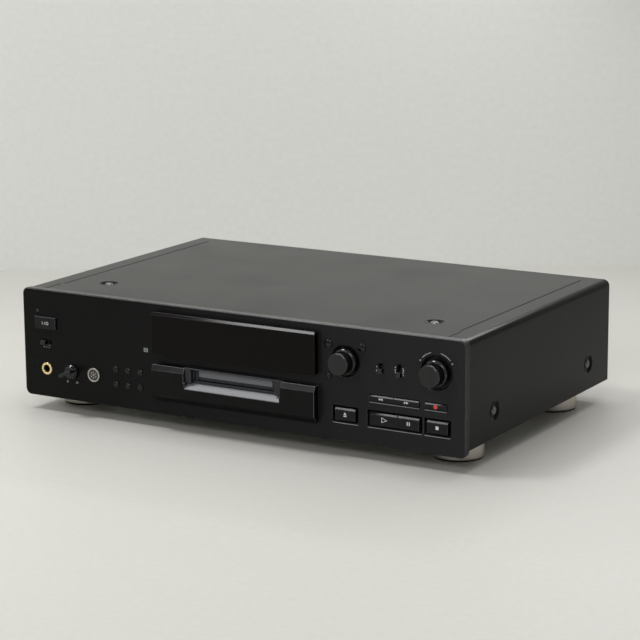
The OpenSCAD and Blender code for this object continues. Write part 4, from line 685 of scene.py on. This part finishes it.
wellLipHighlights(lipHighlightSpec)
print("stage: rims of the key wells")

# in millimetres: how far behind the panel's face the lens starts, and how thick it is
lampSpec = {"at": (-199.2, 88.6), "radius": 1.05, "back": 0.35, "thick": 0.6, "round": 0.4}


def standbyLens(spec):
    lens = disc(spot(*spec["at"]), frontY + spec["back"] * mm, spec["radius"] * mm,
                thickness=spec["thick"] * mm, corners=32)
    joinPieces("standbyLens", [rounded(lens, spec["round"] * mm, 4)], "lampLens", "case")


standbyLens(lampSpec)
print("stage: lamp lens")

# in millimetres: out is how far before the panel's face a piece starts
socketSpec = {"body": {"radius": 4.55, "out": 0.55, "thick": 0.25, "round": 0.15},
              "holes": {"radius": 0.55, "ring": 2.5, "angles": range(30, 360, 60), "out": 0.75, "thick": 0.07},
              "key": (2.0, 1.1)}


def keyboardInsert(spec):
    body, holes, c = spec["body"], spec["holes"], middleOf("keyboard_socket")
    insert = disc(c, frontY - body["out"] * mm, body["radius"] * mm, thickness=body["thick"] * mm,
                  corners=48)
    joinPieces("keyboardInsert", [rounded(insert, body["round"] * mm, 2)], "insertPlastic", "case")
    y, thick = frontY - holes["out"] * mm, holes["thick"] * mm
    pins = [disc(c + outward(angle, holes["ring"]), y, holes["radius"] * mm, thickness=thick, corners=20)
            for angle in holes["angles"]]
    pins.append(plate(c, y, spec["key"][0] * mm, spec["key"][1] * mm, thickness=thick))
    joinPieces("keyboardPins", pins, "socketMetal", "case")


keyboardInsert(socketSpec)
print("stage: keyboard socket")

# light bar on the flap, and the dark lip under it
flapSpec = {"bar": {"width": 71.6, "low": 2.75, "top": 0.2, "thick": 0.5, "round": 0.4},
            "lip": {"x": (-37.9, 43.9), "z": (44.1, 46.4), "out": 1.0, "thick": 1.9, "round": 0.5}}


def flapTrim(spec):
    bar, lip = spec["bar"], spec["lip"]
    low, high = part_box("slot_flap")
    bottom, top = low.z + bar["low"] * mm, high.z - bar["top"] * mm
    middle = Vector(((low.x + high.x) / 2, 0, (bottom + top) / 2))
    strip = plate(middle, low.y + inkSink, bar["width"] * mm, top - bottom, thickness=bar["thick"] * mm)
    joinPieces("flapBar", [rounded(strip, bar["round"] * mm, 3)], "flapPlastic", "slot_flap")
    (left, right), (bottom, top) = lip["x"], lip["z"]
    step = plate(spot((left + right) / 2, (bottom + top) / 2), frontY - lip["out"] * mm,
                 (right - left) * mm, (top - bottom) * mm, thickness=lip["thick"] * mm)
    joinPieces("slotLip", [rounded(step, lip["round"] * mm, 3)], "bezelPlastic", "case")


flapTrim(flapSpec)
print("stage: flap")

# collars round the phono sockets: white and red for the two sides of line in and out, orange for digital in
collarSpec = {"inner": 4.25, "width": 1.9, "thick": 1.1, "round": 0.25, "columns": (150, 166),
              "rows": {"White": 53.8, "Red": 37.8}, "digital": (100, 37.8)}


def phonoCollars(spec):
    thick = spec["thick"] * mm
    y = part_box("rear_panel")[1].y + thick
    spots = {colour: [(x, z) for x in spec["columns"]] for colour, z in spec["rows"].items()}
    spots["Orange"] = [spec["digital"]]
    for colour, places in spots.items():
        parts = [disc(spot(x, z), y, (spec["inner"] + spec["width"]) * mm, thickness=thick, corners=48,
                      hollow=spec["width"] * mm) for x, z in places]
        parts = [rounded(part, spec["round"] * mm, 2) for part in parts]
        joinPieces("collar" + colour, parts, "ring" + colour, "case")


phonoCollars(collarSpec)
print("stage: phono collars")

# painted shade: the floor is painted darker towards the wall, to far times its colour, from fadeFrom metres on
stageSpec = {"size": 9, "floor": (0.64, 0.63, 0.59), "wall": (0.85, 0.855, 0.83), "wallBack": 0.614,
             "far": 0.8, "fadeFrom": -0.3, "fadeRate": 1.6, "rough": 0.5, "grain": 160.0, "spread": 0.05}


def stageFinish(name, colour, spec, paintedShadeFade=False):
    material = bpy.data.materials.new(name)
    material.use_nodes = True
    tree = material.node_tree
    shader = tree.nodes["Principled BSDF"]
    shader.inputs["Roughness"].default_value = spec["rough"]
    grain = useGroup(tree, fineGrain, {"Scale": spec["grain"]})
    dark, light = (tuple(c * (1 + side * spec["spread"]) for c in colour) for side in (-1, 1))
    spread = mixColour(tree, grain.outputs["Grain"], dark, light)
    # painted shade: the floor's colour darker towards the wall
    if paintedShadeFade:
        coords = tree.nodes.new("ShaderNodeTexCoord")
        split = tree.nodes.new("ShaderNodeSeparateXYZ")
        tree.links.new(coords.outputs["Object"], split.inputs[0])
        past = mathNode(tree, "SUBTRACT", split.outputs["Y"], spec["fadeFrom"])
        depth = mathNode(tree, "MULTIPLY", past, spec["fadeRate"], True)
        spread = mixColour(tree, depth, spread, tuple(c * spec["far"] for c in colour))
    tree.links.new(spread, shader.inputs["Base Color"])
    return material


def buildStage(spec):
    clearPick()
    size = spec["size"]
    bpy.ops.mesh.primitive_plane_add(size=size, location=(0, 0, 0))
    floor = bpy.context.object
    floor.name = "floor"
    floor.data.materials.append(stageFinish("floorFinish", spec["floor"], spec, paintedShadeFade=True))
    turn = math.radians(cameraSpec["azimuth"])
    back = Vector((-math.sin(turn), math.cos(turn), 0)) * spec["wallBack"]
    bpy.ops.mesh.primitive_plane_add(size=size, location=(back.x, back.y, size / 2),
                                     rotation=(math.pi / 2, 0, turn))
    wall = bpy.context.object
    wall.name = "wall"
    finish = stageFinish("wallFinish", spec["wall"], spec)
    tree = finish.node_tree  # the wall is clear from behind
    side = tree.nodes.new("ShaderNodeNewGeometry")
    clear = tree.nodes.new("ShaderNodeBsdfTransparent")
    mixed = tree.nodes.new("ShaderNodeMixShader")
    tree.links.new(side.outputs["Backfacing"], mixed.inputs[0])
    tree.links.new(tree.nodes["Principled BSDF"].outputs[0], mixed.inputs[1])
    tree.links.new(clear.outputs[0], mixed.inputs[2])
    tree.links.new(mixed.outputs[0], tree.nodes["Material Output"].inputs["Surface"])
    wall.data.materials.append(finish)


buildStage(stageSpec)

lightSpec = {
    "key": {"at": (-0.88, -0.53, 1.8), "aim": (0, 0, 0), "size": (0.45, 0.4), "power": 14.5},
    "overhead": {"at": (0.0, 0.1, 2.0), "aim": (0, 0, 0), "size": (1.3, 1.0), "power": 14.5},
    "front": {"at": (0.9, -2.6, 1.7), "aim": (0.1, 0.3, 0.1), "size": (1.0, 0.8), "power": 15.2},
    "rim": {"at": (0.12, 0.58, 0.52), "aim": (0.1, -0.2, 0.07), "size": (0.5, 0.06), "power": 1.1},
    "sparkle": {"at": (-1.0, -1.55, 1.05), "aim": (0, -0.1, 0.06), "size": (0.3, 0.3), "power": 3.0},
}
worldSpec = {"colour": (1.0, 1.0, 0.98), "strength": 0.23}


def buildLights(spec, worldLight):
    for name, lamp in spec.items():
        data = bpy.data.lights.new(name, "AREA")
        data.shape = "RECTANGLE"
        data.size, data.size_y = lamp["size"]
        data.energy = lamp["power"]
        light = bpy.data.objects.new(name, data)
        bpy.context.scene.collection.objects.link(light)
        direction = Vector(lamp["aim"]) - Vector(lamp["at"])
        light.location = lamp["at"]
        light.rotation_euler = direction.to_track_quat("-Z", "Y").to_euler()
    world = bpy.data.worlds.new("studio")
    bpy.context.scene.world = world
    world.use_nodes = True
    background = world.node_tree.nodes["Background"]
    background.inputs["Color"].default_value = (*worldLight["colour"], 1)
    background.inputs["Strength"].default_value = worldLight["strength"]


buildLights(lightSpec, worldSpec)
bpy.context.scene.view_settings.view_transform = "Standard"
clearPick()
print("stage: floor and lights")
